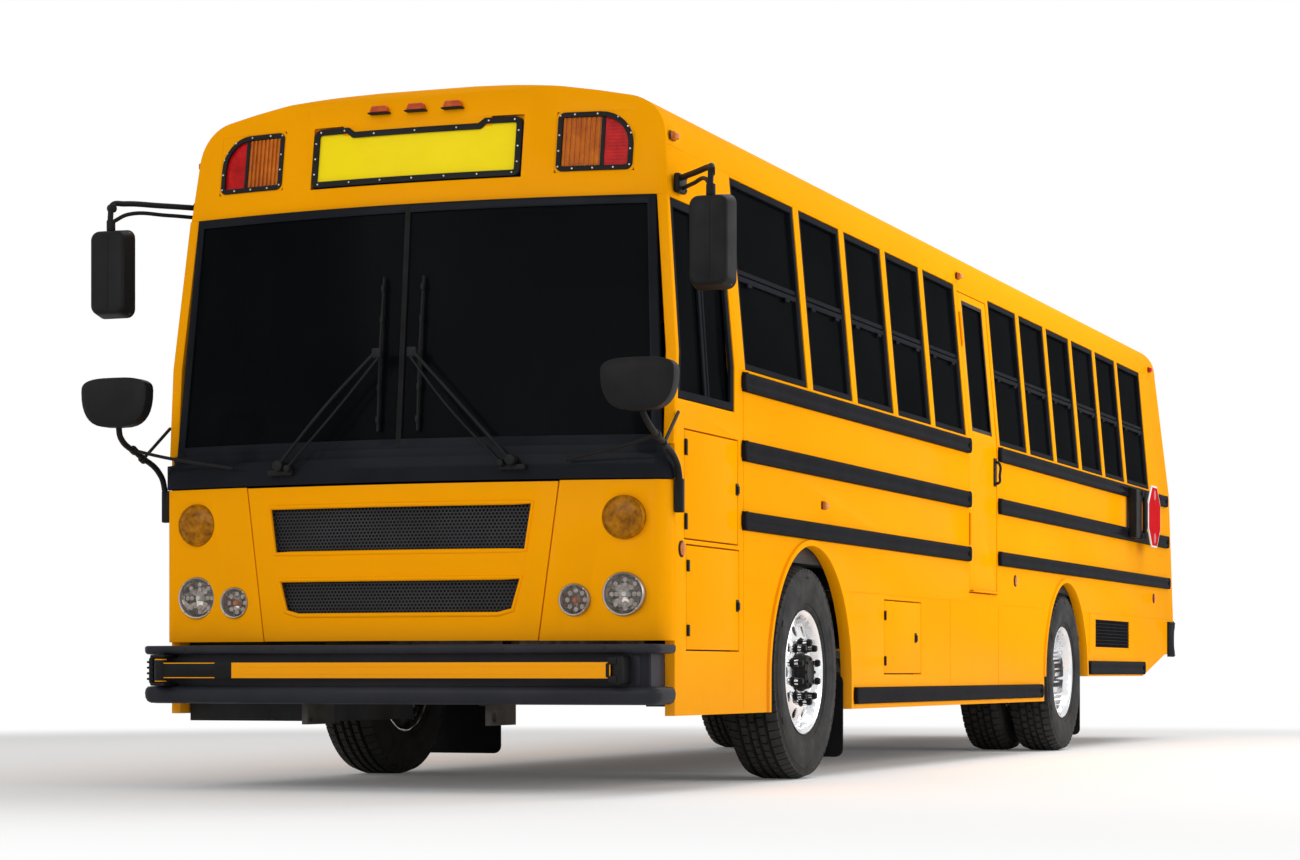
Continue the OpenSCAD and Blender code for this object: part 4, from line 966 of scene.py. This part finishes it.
# where each row of lugs starts and ends across the tyre, and how high it stands on it
lugRows = [(-0.126, -0.078, 0.5), (-0.058, -0.03, 0.509), (-0.011, 0.011, 0.51), (0.03, 0.058, 0.509),
           (0.078, 0.126, 0.5)]


def tyreAt(x, y, drive):  # drive tyres have open shoulder lugs, steer tyres closed ribs
    z = wheel["z"]
    outline = [(r, -a) for a, r in reversed(tyreHalf)] + [(r, a) for a, r in tyreHalf[1:]]
    parts = [turnedAcross((x, y, z), 1, outline, 96)]
    count, filled = (56, 0.66) if drive else (66, 0.84)
    length = 2 * pi * 0.51 / count * filled
    for index, (a0, a1, base) in enumerate(lugRows):
        lug = box(x + a0, x + a1, y - length / 2, y + length / 2, z + base - 0.014, z + 0.5195)
        if index in (0, 4):  # shoulder lugs fall away outwards
            pick(lug, lambda p: p.z > z + 0.515 and abs(p.x - x) > 0.12, "VERT")
            bpy.ops.transform.translate(value=(0, 0, -0.017))
            done()
        pick(lug, lambda place, normal: normal.z > 0.7)
        mesh.inset(thickness=0.0025)
        done()
        if index % 2:
            whole(lug, "VERT")
            bpy.ops.transform.rotate(value=pi / count, orient_axis="X", center_override=(x, y, z))
            done()
        parts.append(around(lug, count, (x, y, z), (1, 0, 0)))
    for s in (-1, 1):
        edge = x + s * 0.1375
        mark = slab(edge - 0.0012, edge + 0.0012, y - 0.02, y + 0.02, z + 0.455, z + 0.463, 0.0008, 1)
        parts.append(around(mark, 6, (x, y, z), (1, 0, 0)))
    return joined(*parts)


steer, outerDrive = tyreAt(*wheel["front"], False), tyreAt(*wheel["rear"], True)
drivePair = joined(outerDrive, copied(outerDrive, (-wheel["twin"], 0, 0)))
print("tyre faces:", len(steer.data.polygons), len(drivePair.data.polygons))
settlePair(steer, "front_{}_tyre.tread", "tyre", ["front_{}_tyre"], "front_{}_wheel", 38)
settlePair(drivePair, "rear_{}_tyres.tread", "tyre", ["rear_{}_tyres"], "rear_{}_wheels", 38)

for node in ("front_left_rim", "front_right_rim", "rear_left_rims", "rear_right_rims"):
    refined(node, "aluminium", 0.0025, 2, 40, 40)

trims = {
    "front": {"disc": 0.098, "bolts": 0.05, "valve": 0.06, "body": "front_{}_wheel", "finish": "plasticBlack",
              "hub": [(0.094, 0.0), (0.094, 0.01), (0.086, 0.02), (0.082, 0.036), (0.078, 0.046), (0.05, 0.052),
                      (0.046, 0.05), (0.0, 0.051)]},
    "rear": {"disc": -0.076, "bolts": 0.126, "valve": -0.03, "body": "rear_{}_wheels", "finish": "castIron",
             "hub": [(0.112, 0.0), (0.11, 0.03), (0.1, 0.05), (0.098, 0.11), (0.09, 0.122), (0.05, 0.13),
                     (0.0, 0.131)]},
}
nutCone = [(0.0205, 0.0), (0.0205, 0.014), (0.0185, 0.016), (0.0185, 0.046), (0.0145, 0.056), (0.0, 0.057)]
for end, trim in trims.items():
    (x, y), z = wheel[end], wheel["z"]
    disc = (x + trim["disc"], y, z)  # the disc's outer face
    seat = (disc[0], y, z + wheel["bolts"])
    washer = turnedAcross(seat, 1, ((0.0255, 0.0), (0.0255, 0.004), (0.018, 0.005)), 20)
    nuts = around(joined(turnedAcross(seat, 1, nutCone, 6), washer), 10, disc, (1, 0, 0))
    bolt = stud((disc[0] + trim["bolts"], y, z + 0.064), (1, 0, 0), 0.0085, 0.012, 6, 0.0015, 1)
    parts = [nuts, turnedAcross(disc, 1, trim["hub"], 48), around(bolt, 8, disc, (1, 0, 0))]
    settlePair(parts, end + "_{}_hub.trim", trim["finish"], body=trim["body"], smooth=35)
    lip = ((0.287, 0.104), (0.291, 0.1165), (0.2965, 0.119), (0.3015, 0.1165), (0.303, 0.106))
    at = x + trim["valve"]
    valve = rod([(at, y, z + 0.238), (at + 0.03, y, z + 0.236), (at + 0.045, y, z + 0.228)], 0.004, True)
    parts = [turnedAcross((x, y, z), 1, lip, 96), valve]
    settlePair(parts, end + "_{}_rim.lip", "aluminium", body=trim["body"], smooth=40)
print("wheels")


# sides: rails, window frames, doors' hardware, stop arm

flank = 1.219  # x of the side walls below the waist
slope = {"waist": 1.895, "lean": 0.079 / 0.905}


def leaned(piece):  # follows the wall's lean above the waist
    return bent(piece, lambda x, y, z: (x - max(0.0, z - slope["waist"]) * slope["lean"], y, z))


def onSide(d0, d1, *rest):  # a slab from d0 to d1 outside the wall
    return slab(flank + d0, flank + d1, *rest)


# depth out of the wall and height over its own, one half
railHalf = [(0.0155, 0.07), (0.017, 0.13), (0.0215, 0.2), (0.0215, 0.34), (0.018, 0.43), (0.011, 0.49),
            (0.0, 0.5)]
railBands = [(1.797, 1.884), (1.48, 1.574), (1.166, 1.252)]


def rubRail(y0, y1, z0, z1):  # rolled channel: two crowned beads, closed ends
    x, middle, tall = flank + 0.0005, (z0 + z1) / 2, z1 - z0
    section = [(d, -h) for d, h in reversed(railHalf)] + railHalf
    parts = [drawnOut([(x + d, y0 + 0.012, middle + h * tall) for d, h in section], (0, y1 - y0 - 0.024, 0))]
    for y, way in ((y0, 1), (y1, -1)):  # rounded cap with a bolt at each end
        end = box(x, x + 0.0235, min(y, y + way * 0.045), max(y, y + way * 0.045), z0, z1)
        pick(end, lambda a, b: abs(a.x - b.x) > 0.02 and (a.y - y) * way < 0.01, "EDGE")
        mesh.bevel(offset=0.03, segments=6, affect="EDGES")
        done()
        parts += [rounded(end, 0.004, 2, 50),
                  stud((x + 0.0225, y + way * 0.024, middle), (1, 0, 0), 0.008, 0.003, 12, 0.001, 1)]
    return joined(*parts)


def railRow(front, gap):  # gap: where the emergency door breaks the rails
    rows = [rubRail(2.7, 6.88, 0.357, 0.443), rubRail(8.3, 10.23, 0.504, 0.598)]
    for z0, z1 in railBands:
        stops = [front, *gap, 11.12 + (1.884 - z1) * 0.16]
        rows += [rubRail(y0, y1, z0, z1) for y0, y1 in zip(stops[::2], stops[1::2])]
    return joined(*rows)


settle(railRow(0.925, (5.038, 5.742)), "rub_rails_left", "rubRailBlack", ["rub_rails"], smooth=40)
settle(flipped(railRow(1.01, ())), "rub_rails_right", "rubRailBlack", smooth=40)
print("rub rails")

leftWindows = [(0.985, 1.933), (2.019, 2.695), (2.781, 3.457), (3.543, 4.219), (4.305, 4.99), (5.795, 6.512),
               (6.598, 7.274), (7.36, 8.036), (8.122, 8.798), (8.884, 9.56), (9.646, 10.47)]
rightWindows = leftWindows[:5] + [(5.076, 5.709)] + leftWindows[5:]
sash = {"low": 1.901, "high": 2.78, "bar": 2.342, "frame": 0.03}


def windowFrame(d0, d1):  # outer frame, lower pane frame, raised upper pane frame, latches
    y0, y1, f = d0 + 0.003, d1 - 0.003, sash["frame"]
    low, high, bar, g = sash["low"], sash["high"], sash["bar"], 0.8 * sash["frame"]
    parts = [onSide(-deep, proud, a0, a1, b0, b1, 0.003, 1) for a0, a1, b0, b1, deep, proud in (
        (y0, y1, low, low + f, 0.03, -0.004), (y0, y1, high - f, high, 0.03, -0.004),
        (y0, y0 + f, low, high, 0.03, -0.005), (y1 - f, y1, low, high, 0.03, -0.005),
        (y0 + g, y1 - g, bar - 0.03, bar - 0.004, 0.026, -0.009),
        (y0 + g, y1 - g, bar + 0.002, bar + 0.026, 0.03, -0.013),
        (y0 + g, y0 + f + 0.012, low + f, bar, 0.026, -0.009),
        (y1 - f - 0.012, y1 - g, low + f, bar, 0.026, -0.009))]
    for at in (y0 + 0.2 * (y1 - y0), y1 - 0.2 * (y1 - y0)):
        parts.append(onSide(-0.012, -0.004, at - 0.03, at + 0.03, bar - 0.045, bar - 0.028, 0.003, 1))
    return leaned(joined(*parts))


def driversWindow():
    outline = [(0.092, 1.696), (0.153, 2.565), (0.832, 2.565), (0.832, 1.696)]
    edge = cleaned(ringFrom([(flank - 0.022, d, z) for d, z in outline], 0.036, 0.018, 0, 0))
    for z in (1.895, 2.1, 2.3):
        sliced(edge, (0, 0, z), (0, 0, 1))
    rounded(edge, 0.003, 1, 50)
    return leaned(joined(edge, onSide(-0.022, -0.008, 0.46, 0.492, 1.72, 2.54, 0.003, 1),
                         onSide(-0.018, -0.006, 0.5, 0.52, 1.72, 2.54, 0.003, 1)))


frames = [driversWindow(), *[windowFrame(*ends) for ends in leftWindows]]
settle(frames, "window_frames_left", "blackPaint", ["window_sashes"])
settle(flipped(joined(*[windowFrame(*ends) for ends in rightWindows])), "window_frames_right", "blackPaint")
print("window frames")


def seam(y0, z0, y1, z1):  # a thin lap line on the skin
    half = 0.0015
    return onSide(-0.0005, 0.002, min(y0, y1) - half, max(y0, y1) + half,
                  min(z0, z1) - half, max(z0, z1) + half, 0.0008, 1, 40)


def lid(y0, y1, z0, z1):  # the seams round a lid
    return [(y0, z0, y0, z1), (y0, z1, y1, z1), (y0, z0, y1, z0), (y1, z0, y1, z1)]


def rivetRun(y0, z0, y1, z1, step):
    count = max(2, int(max(y1 - y0, z1 - z0) / step))
    return [(y0 + (y1 - y0) * i / count, z0 + (z1 - z0) * i / count) for i in range(count + 1)]


def seamsAndRivets(seams, windows, places):
    places = rivetRun(0.99, 2.79, 10.5, 2.79, 0.19) + places
    for y in [(a[1] + b[0]) / 2 for a, b in zip(windows, windows[1:]) if b[0] - a[1] < 0.2]:
        places += rivetRun(y, 1.92, y, 2.76, 0.2)
    head = ((0.0045, -0.0005), (0.0045 * 0.85, 0.0012), (0.0, 0.0022))
    heads = joined(*[turnedAcross((flank, y, z), 1, head, 8) for y, z in places])
    return joined(*[seam(*line) for line in seams], leaned(heads))


both = [(4.62, 0.36, 4.62, 0.93), (8.27, 0.931, 11.2, 0.931)]
leftSeams = [(0.977, 0.931, 1.31, 0.931), (2.66, 0.931, 5.03, 0.931), (0.956, 0.35, 0.956, 1.89),
             (8.36, 0.65, 8.36, 0.93), (5.76, 0.931, 6.95, 0.931), (5.76, 0.36, 5.76, 0.93)]
rightSeams = [(1.06, 0.931, 1.31, 0.931), (2.66, 0.931, 6.95, 0.931)]
rightSeams += lid(3.26, 4.0, 0.42, 0.9) + lid(5.1, 5.34, 0.62, 0.82)
skirtRivets = rivetRun(2.72, 0.35, 6.85, 0.35, 0.25)
settle(seamsAndRivets(both + leftSeams, leftWindows, skirtRivets), "side_seams_left", "bodyYellow")
settle(flipped(seamsAndRivets(both + rightSeams, rightWindows, [])), "side_seams_right", "bodyYellow")
print("seams and rivets")


def latch(y, z):
    return [onSide(0.0003, 0.004, y - 0.019, y + 0.019, z - 0.027, z + 0.027),
            onSide(0.003, 0.012, y - 0.012, y + 0.012, z - 0.02, z + 0.016, 0.004, 3)]


def buttHinge(y, z, tall):
    return [onSide(0.0003, 0.004, y - 0.004, y + 0.03, z - tall / 2, z + tall / 2, 0.0015, 1),
            stud((flank + 0.006, y - 0.003, z), (0, 0, 1), 0.006, tall, 14, 0.0015, 1)]


for name, body, place, y, z0, z1, tall in (
        ("upper_access", "upper_access_door", (0.866, 1.345), 0.176, 1.17, 1.49, 0.07),
        ("lower_access", "lower_access_door", (0.872, 0.82), 0.204, 0.7, 0.98, 0.05),
        ("battery_door", "battery_door", (3.881, 0.707), 3.272, 0.58, 0.82, 0.05)):
    parts = latch(*place) + buttHinge(y, z0, tall) + buttHinge(y, z1, tall)
    settle(parts, name + ".hardware", "plasticBlack", body=body)

hinges = []
for z0, z1 in ((1.265, 1.45), (2.43, 2.63)):
    middle = (z0 + z1) / 2
    hinges += [leaned(onSide(0.0005, 0.007, 5.058, 5.084, z0, z1)),
               leaned(stud((flank + 0.006, 5.061, middle), (0, 0, 1), 0.008, z1 - z0, 16, 0.002, 1))]
    hinges += [leaned(screw(flank + 0.008, 5.076, z, 0.005, (1, 0, 0))) for z in (z0 + 0.04, middle, z1 - 0.04)]
settle(hinges, "left_emergency_door.hinges", "bodyYellow", body="left_emergency_door")
grip = ((0.006, 1.79), (0.03, 1.775), (0.032, 1.7), (0.03, 1.665), (0.006, 1.655))
fittings = [onSide(0.0005, 0.008, 5.635, 5.695, 1.64, 1.81, 0.005, 3),
            rod([(flank + d, 5.665, z) for d, z in grip], 0.008, True)]
gasket = fourBars(5.143, 5.627, 1.938, 2.708, 0.022)
fittings += [leaned(onSide(-0.01, -0.003, *bar, 0.002, 1)) for bar in gasket]
fittings.append(onSide(-0.004, 0.025, 5.07, 5.7, 0.9925, 1.0015, 0.003, 1))
settle(fittings, "left_emergency_door.fittings", "plasticBlack", body="left_emergency_door")
print("door hardware")


def roundMarker(y, z):  # its foot and its lens
    place, r = (flank + 0.0005, y, z), 0.036
    return (turnedAcross(place, 1, ((r, 0.0), (r, 0.004), (r * 0.86, 0.007), (r * 0.8, 0.004)), 28),
            turnedAcross(place, 1, ((r * 0.84, 0.002), (r * 0.8, 0.0075), (r * 0.5, 0.0105), (0.0, 0.0115)), 28))


def barMarker(x0, y, z, deep):
    lens = box(x0 + 0.004, x0 + deep, y - 0.032, y + 0.032, z - 0.018, z + 0.018)
    narrowed(lens, lambda place, normal: normal.x > 0.9, (1, 0.86, 0.7))
    return slab(x0, x0 + 0.006, y - 0.035, y + 0.035, z - 0.02, z + 0.02), rounded(lens, 0.004, 3)


eave = (1.14, 2.842, 0.026)
amber = [roundMarker(0.13, 1.049), roundMarker(6.187, 1.086), barMarker(flank + 0.0005, 2.183, 1.3425, 0.0215)]
amber += [barMarker(eave[0], y, *eave[1:]) for y in (0.23, 5.08)]
red = [roundMarker(10.64, 1.081), barMarker(eave[0], 10.86, *eave[1:])]
feet = [foot for foot, lens in amber + red]
for group, label, finish in ((amber, "amber", "lensAmber"), (red, "red", "lensRed")):
    settlePair([lens for foot, lens in group], "side_markers_{}." + label, finish)
settlePair(feet, "side_markers_{}.feet", "plasticBlack")
print("marker lamps")

y0, y1, z0, z1 = 8.539, 9.719, 0.689, 0.893
edge = 0.006
steps = [0.004 + i * 0.0235 for i in range(50)]
wire = 0.007
screen = [onSide(-0.008, -0.004, y0 + d, y0 + d + wire, z0, z1, 0.001, 1) for d in steps]
screen += [onSide(-0.0055, -0.0015, y0, y1, z0 + d, z0 + d + wire, 0.001, 1) for d in steps[:9]]
trim = [onSide(-0.01, 0.002, *bar, 0.002, 1) for bar in (
    (y0 - edge, y1 + edge, z0 - edge, z0 + edge), (y0 - edge, y1 + edge, z1 - edge, z1 + edge),
    (y0 - edge, y0 + edge, z0, z1), (y1 - edge, y1 + edge, z0, z1))]
settle(screen, "side_vent.screen", "rubRailBlack")
settle(trim, "side_vent.trim", "bodyYellow")
settle(onSide(-0.024, -0.016, y0, y1, z0, z1, 0.002, 1), "side_vent.shade", "bodyYellow")

stop = {"x": 1.323, "hinge": 9.82, "y": 10.084, "z": 1.672, "size": 0.228}


def octagon(inset, d0, d1, *edge):
    far = (stop["size"] - inset) / cos(pi / 8)
    turns = [pi / 8 + k * pi / 4 for k in range(8)]
    corners = [(stop["x"] + d0, stop["y"] + far * cos(a), stop["z"] + far * sin(a)) for a in turns]
    return rounded(drawnOut(corners, (d1 - d0, 0, 0)), *edge)


faces = [octagon(0.013, 0.01, 0.0137, 0.001, 1, 40), octagon(0.013, -0.0004, 0.003, 0.001, 1, 40)]
button = ((0.04, -0.002), (0.038, 0.001), (0.02, 0.0015), (0.0, 0.0018))
lights = [turnedAcross((stop["x"] + 0.0137, stop["y"], stop["z"] + dz), 1, button, 24) for dz in (-0.16, 0.16)]
bracket = [slab(1.3151, 1.329, stop["hinge"] + 0.004, stop["hinge"] + 0.06, stop["z"] - 0.1, stop["z"] + 0.1),
           stud((1.315, stop["hinge"], stop["z"]), (0, 0, 1), 0.016, 0.268, 24)]
settle(octagon(0, 0, 0.0125, 0.004, 3, 40), "stop_arm.border", "plainWhite", ["stop_arm"], "stop_arm")
for parts, label, finish in ((faces, "face", "stopRed"), (lights, "lights", "lensRed"),
                             (bracket, "hinge", "plasticBlack")):
    settle(parts, "stop_arm." + label, finish, body="stop_arm")
print("stop arm")


# cabin: padded benches on tube frames, driver's seat, dashboard, engine

bench = {"wide": 0.94, "middle": 0.655, "pitch": 0.762, "left": 1.9, "right": 1.56, "floor": 1.1}


def stuffed(wide, deep, tall, crown, pull, cuts=9):  # a crowned pad, its sides pulled in between the corners
    piece = box(-wide / 2, wide / 2, -deep / 2, deep / 2, -tall / 2, tall / 2)
    rounded(piece, min(deep, tall) * 0.3, 3, 40)
    for axis, span in ((0, wide), (1, deep), (2, tall)):
        for step in range(1, cuts):
            place, normal = [0, 0, 0], [0, 0, 0]
            place[axis], normal[axis] = -span / 2 + span * step / cuts, 1
            sliced(piece, place, normal)

    def rule(x, y, z):
        u, v = 2 * x / wide, 2 * y / deep
        w = 2 * z / tall
        x -= pull * u * (1 - v * v) * 0.6
        if tall < deep:
            return x, y - pull * v * (1 - u * u), z + crown * (1 - u ** 4) * (1 - v * v) * w
        channel = 0.004 * max(0.0, 1 - abs(abs(w) - 0.45) / 0.05) * v  # sewn
        return x, y + crown * (1 - u ** 4) * (1 - w ** 4) * v - channel, z - pull * w * (1 - u * u) * 0.6

    return bent(piece, rule)


def laid(piece, slope, along):  # slopes along its depth, then goes to its place
    return bent(piece, lambda x, y, z: (x + along[0], y + along[1], z + y * slope + along[2]))


def tilted(piece, slope, along):  # leans back as it rises, then goes to its place
    return bent(piece, lambda x, y, z: (x + along[0], y + z * slope + along[1], z + along[2]))


wide, middle, floor = bench["wide"], bench["middle"], bench["floor"]
corners = [(-1, -1), (1, -1), (1, 1), (-1, 1), (-1, -1)]
welt = rod([(a * (wide - 0.012) / 2, b * 0.209, 0.018) for a, b in corners], 0.0045, True)
firstPad = laid(joined(stuffed(wide, 0.43, 0.082, 0.006, 0.008), welt), -0.045, (middle, 0.22, 1.531))
firstBack = tilted(stuffed(wide, 0.096, 0.7, 0.006, 0.01), 0.1, (middle, 0.518, 1.93))
legs = [(x, y) for x in (0.262, 1.1) for y in (0.11, 0.42)]
frames = [rod([(x, 0.11, floor), (x, 0.11, 1.478), (x, 0.42, 1.478), (x, 0.42, floor)], 0.013, True)
          for x in (0.262, 1.1)]
frames += [rod([(0.2, y, 1.484), (1.118, y, 1.484)], 0.012) for y in (0.11, 0.42)]
frames += [slab(x - 0.035, x + 0.035, y - 0.035, y + 0.035, floor, floor + 0.006, 0.002, 1) for x, y in legs]
leftRows = [bench["left"] + i * bench["pitch"] for i in range(12) if i != 4]  # none by the emergency door
rightRows = [bench["right"] + i * bench["pitch"] for i in range(12)]


def rowsOf(piece):
    parts = [copied(piece, (0, y, 0)) for y in leftRows]
    flipped(piece)
    parts += [copied(piece, (0, y, 0)) for y in rightRows]
    bpy.data.objects.remove(piece)
    return joined(*parts)


pads = settle(rowsOf(firstPad), "bench_cushions", "seatVinyl", ["seats"], smooth=50)
backs = settle(rowsOf(firstBack), "bench_backs", "seatVinyl", smooth=50)
settle(rowsOf(joined(*frames)), "bench_frames", "chassisBlack")
print("benches:", len(leftRows + rightRows))

x = 0.785
driverPads = {"cushion": laid(stuffed(0.48, 0.42, 0.095, 0.012, 0.012), -0.05, (x, 1.225, 1.49)),
              "back": tilted(stuffed(0.46, 0.1, 0.6, 0.01, 0.014), 0.12, (x, 1.53, 1.85)),
              "headrest": tilted(stuffed(0.23, 0.085, 0.15, 0.006, 0.006, 5), 0.08, (x, 1.583, 2.25)),
              "armrests": [slab(x + d - 0.025, x + d + 0.025, 1.2, 1.48, 1.69, 1.735, 0.018, 3)
                           for d in (-0.245, 0.245)]}
for label, parts in driverPads.items():
    pad = settle(parts, "driver_seat." + label, "driverCloth", smooth=50)
base = [slab(x - 0.145, x + 0.065, 1.12, 1.48, 1.1, 1.165, 0.006)]
for i in range(7):  # bellows
    inset, z = i % 2 * 0.012, 1.16 + i * 0.035
    base.append(slab(x - 0.135 + inset, x + 0.06 - inset, 1.13, 1.46, z, z + 0.04, 0.012))
base += [rod([(x + d, 1.03, 1.428), (x + d, 1.46, 1.428)], 0.011) for d in (-0.12, 0.04)]
settle(base, "driver_seat.base", "rubber")

refined("dashboard", "plasticBlack", 0.012, 3, 40, suffix="shell")
refined("engine_block", "castIron", 0.006, 2, 40, suffix="casting")
refined("steering_wheel", "rubber", 0.002, 1, 60, suffix="grip")
print("cabin")


# rear: lamps, sign, door hardware, window rubbers, blank plate

tail = {"foot": 11.45, "from": 0.9, "lean": 0.18}


def onTail(piece):  # an upright piece, its depth measured off the tail, laid against the lean
    return bent(piece, lambda x, y, z: (x, y + tail["foot"] - max(0.0, z - tail["from"]) * tail["lean"], z))


def tailSlab(*sizes):
    return onTail(slab(*sizes))


def bothSides(*parts):
    piece = joined(*parts)
    return [piece, mirrored(piece)]


def rearLens(x, z, profile, steps=48):
    return onTail(turnedAlong((x, 0, z), profile, steps))


rearLamps = [(1.075, 1.59, 0.09, "red"), (1.075, 1.38, 0.09, "amber"), (0.86, 1.48, 0.09, "red"),
             (1.075, 1.2, 0.06, "reverse"), (0.8, 2.74, 0.086, "amber"), (1.0, 2.74, 0.086, "red")]
rims, lenses = [], {}
for x, z, r, label in rearLamps:
    profile = ((r, 0.001), (r, 0.012), (r * 0.97, 0.017), (r * 0.91, 0.017), (r * 0.88, 0.009))
    rims.append(rearLens(x, z, profile))
    profile = ((r * 0.9, 0.008), (r * 0.88, 0.015), (r * 0.7, 0.021), (r * 0.35, 0.0245), (0.0, 0.0255))
    lenses.setdefault(label, []).append(rearLens(x, z, profile))
settle(bothSides(*rims), "rear_lamps.rims", "rubber")
for label, finish in (("red", "lensRed"), ("amber", "lensAmber"), ("reverse", "lensClear")):
    settle(bothSides(*lenses[label]), "rear_lamps." + label, finish)
bowl = rearLens(1.075, 1.2, ((0.05, 0.006), (0.03, 0.003), (0.0, 0.002)), 32)
settle(bothSides(bowl), "rear_lamps.bowls", "reflector")

settle(tailSlab(-0.445, 0.445, 0.001, 0.012, 2.705, 2.895), "rear_sign.face", "signYellow")


def tailFrame(x0, x1, z0, z1, wide, y0, y1, *edge):
    return [tailSlab(a0, a1, y0, y1, b0, b1, *edge) for a0, a1, b0, b1 in fourBars(x0, x1, z0, z1, wide)]


settle(tailFrame(-0.45, 0.45, 2.7, 2.9, 0.013, 0.001, 0.018), "rear_sign.frame", "blackPaint")
rubber = (0.022, -0.006, 0.006)
settle(bothSides(*tailFrame(0.54, 1.01, 1.93, 2.6, *rubber)), "rear_windows.rubber", "rubber")
fittings = tailFrame(-0.33, 0.33, 1.24, 1.76, *rubber) + tailFrame(-0.33, 0.33, 1.96, 2.56, *rubber)
grip = ((0.008, 1.93), (0.045, 1.915), (0.045, 1.83), (0.008, 1.815))
fittings += [tailSlab(-0.4, -0.35, 0.001, 0.01, 1.8, 1.95, 0.004),
             onTail(rod([(-0.375, y, z) for y, z in grip], 0.008, True))]
settle(fittings, "rear_emergency_door.fittings", "plasticBlack", body="rear_emergency_door")
leaves = []
for z0, z1 in ((1.15, 1.35), (1.78, 1.94), (2.38, 2.58)):
    barrel = stud((0.449, 0.006, (z0 + z1) / 2), (0, 0, 1), 0.008, z1 - z0, 14, 0.002, 1)
    leaves += [tailSlab(0.385, 0.452, 0.0005, 0.006, z0, z1, 0.002, 1), onTail(barrel)]
settle(leaves, "rear_emergency_door.hinges", "bodyYellow", body="rear_emergency_door")
settle(tailSlab(0.56, 0.86, 0.001, 0.005, 1.02, 1.17, 0.002, 1), "rear_plate", "plainWhite")
settle(tailFrame(0.552, 0.868, 1.012, 1.178, 0.01, 0.001, 0.009, 0.002, 1), "rear_plate.holder", "plasticBlack")

# channel ends of the rear bumper, wrapped on to the sides
outline = [(11.19, 0.64), (11.19, 0.912), (11.43, 0.912), (11.452, 0.9), (11.455, 0.872), (11.425, 0.84),
           (11.415, 0.776), (11.425, 0.712), (11.455, 0.68), (11.452, 0.652), (11.43, 0.64)]
wrap = [rounded(drawnOut([(1.2195, y, z) for y, z in outline], (0.012, 0, 0)), 0.003, 2, 40)]
wrap += [rod([(1.228, y, z) for y in (11.2, 11.44)], 0.0085) for z in (0.9, 0.654)]
wrap += [screw(1.2315, 11.22, z, 0.009, (1, 0, 0)) for z in (0.7, 0.78, 0.86)]
settle(bothSides(*wrap), "rear_bumper.ends", "blackPaint")
print("rear")
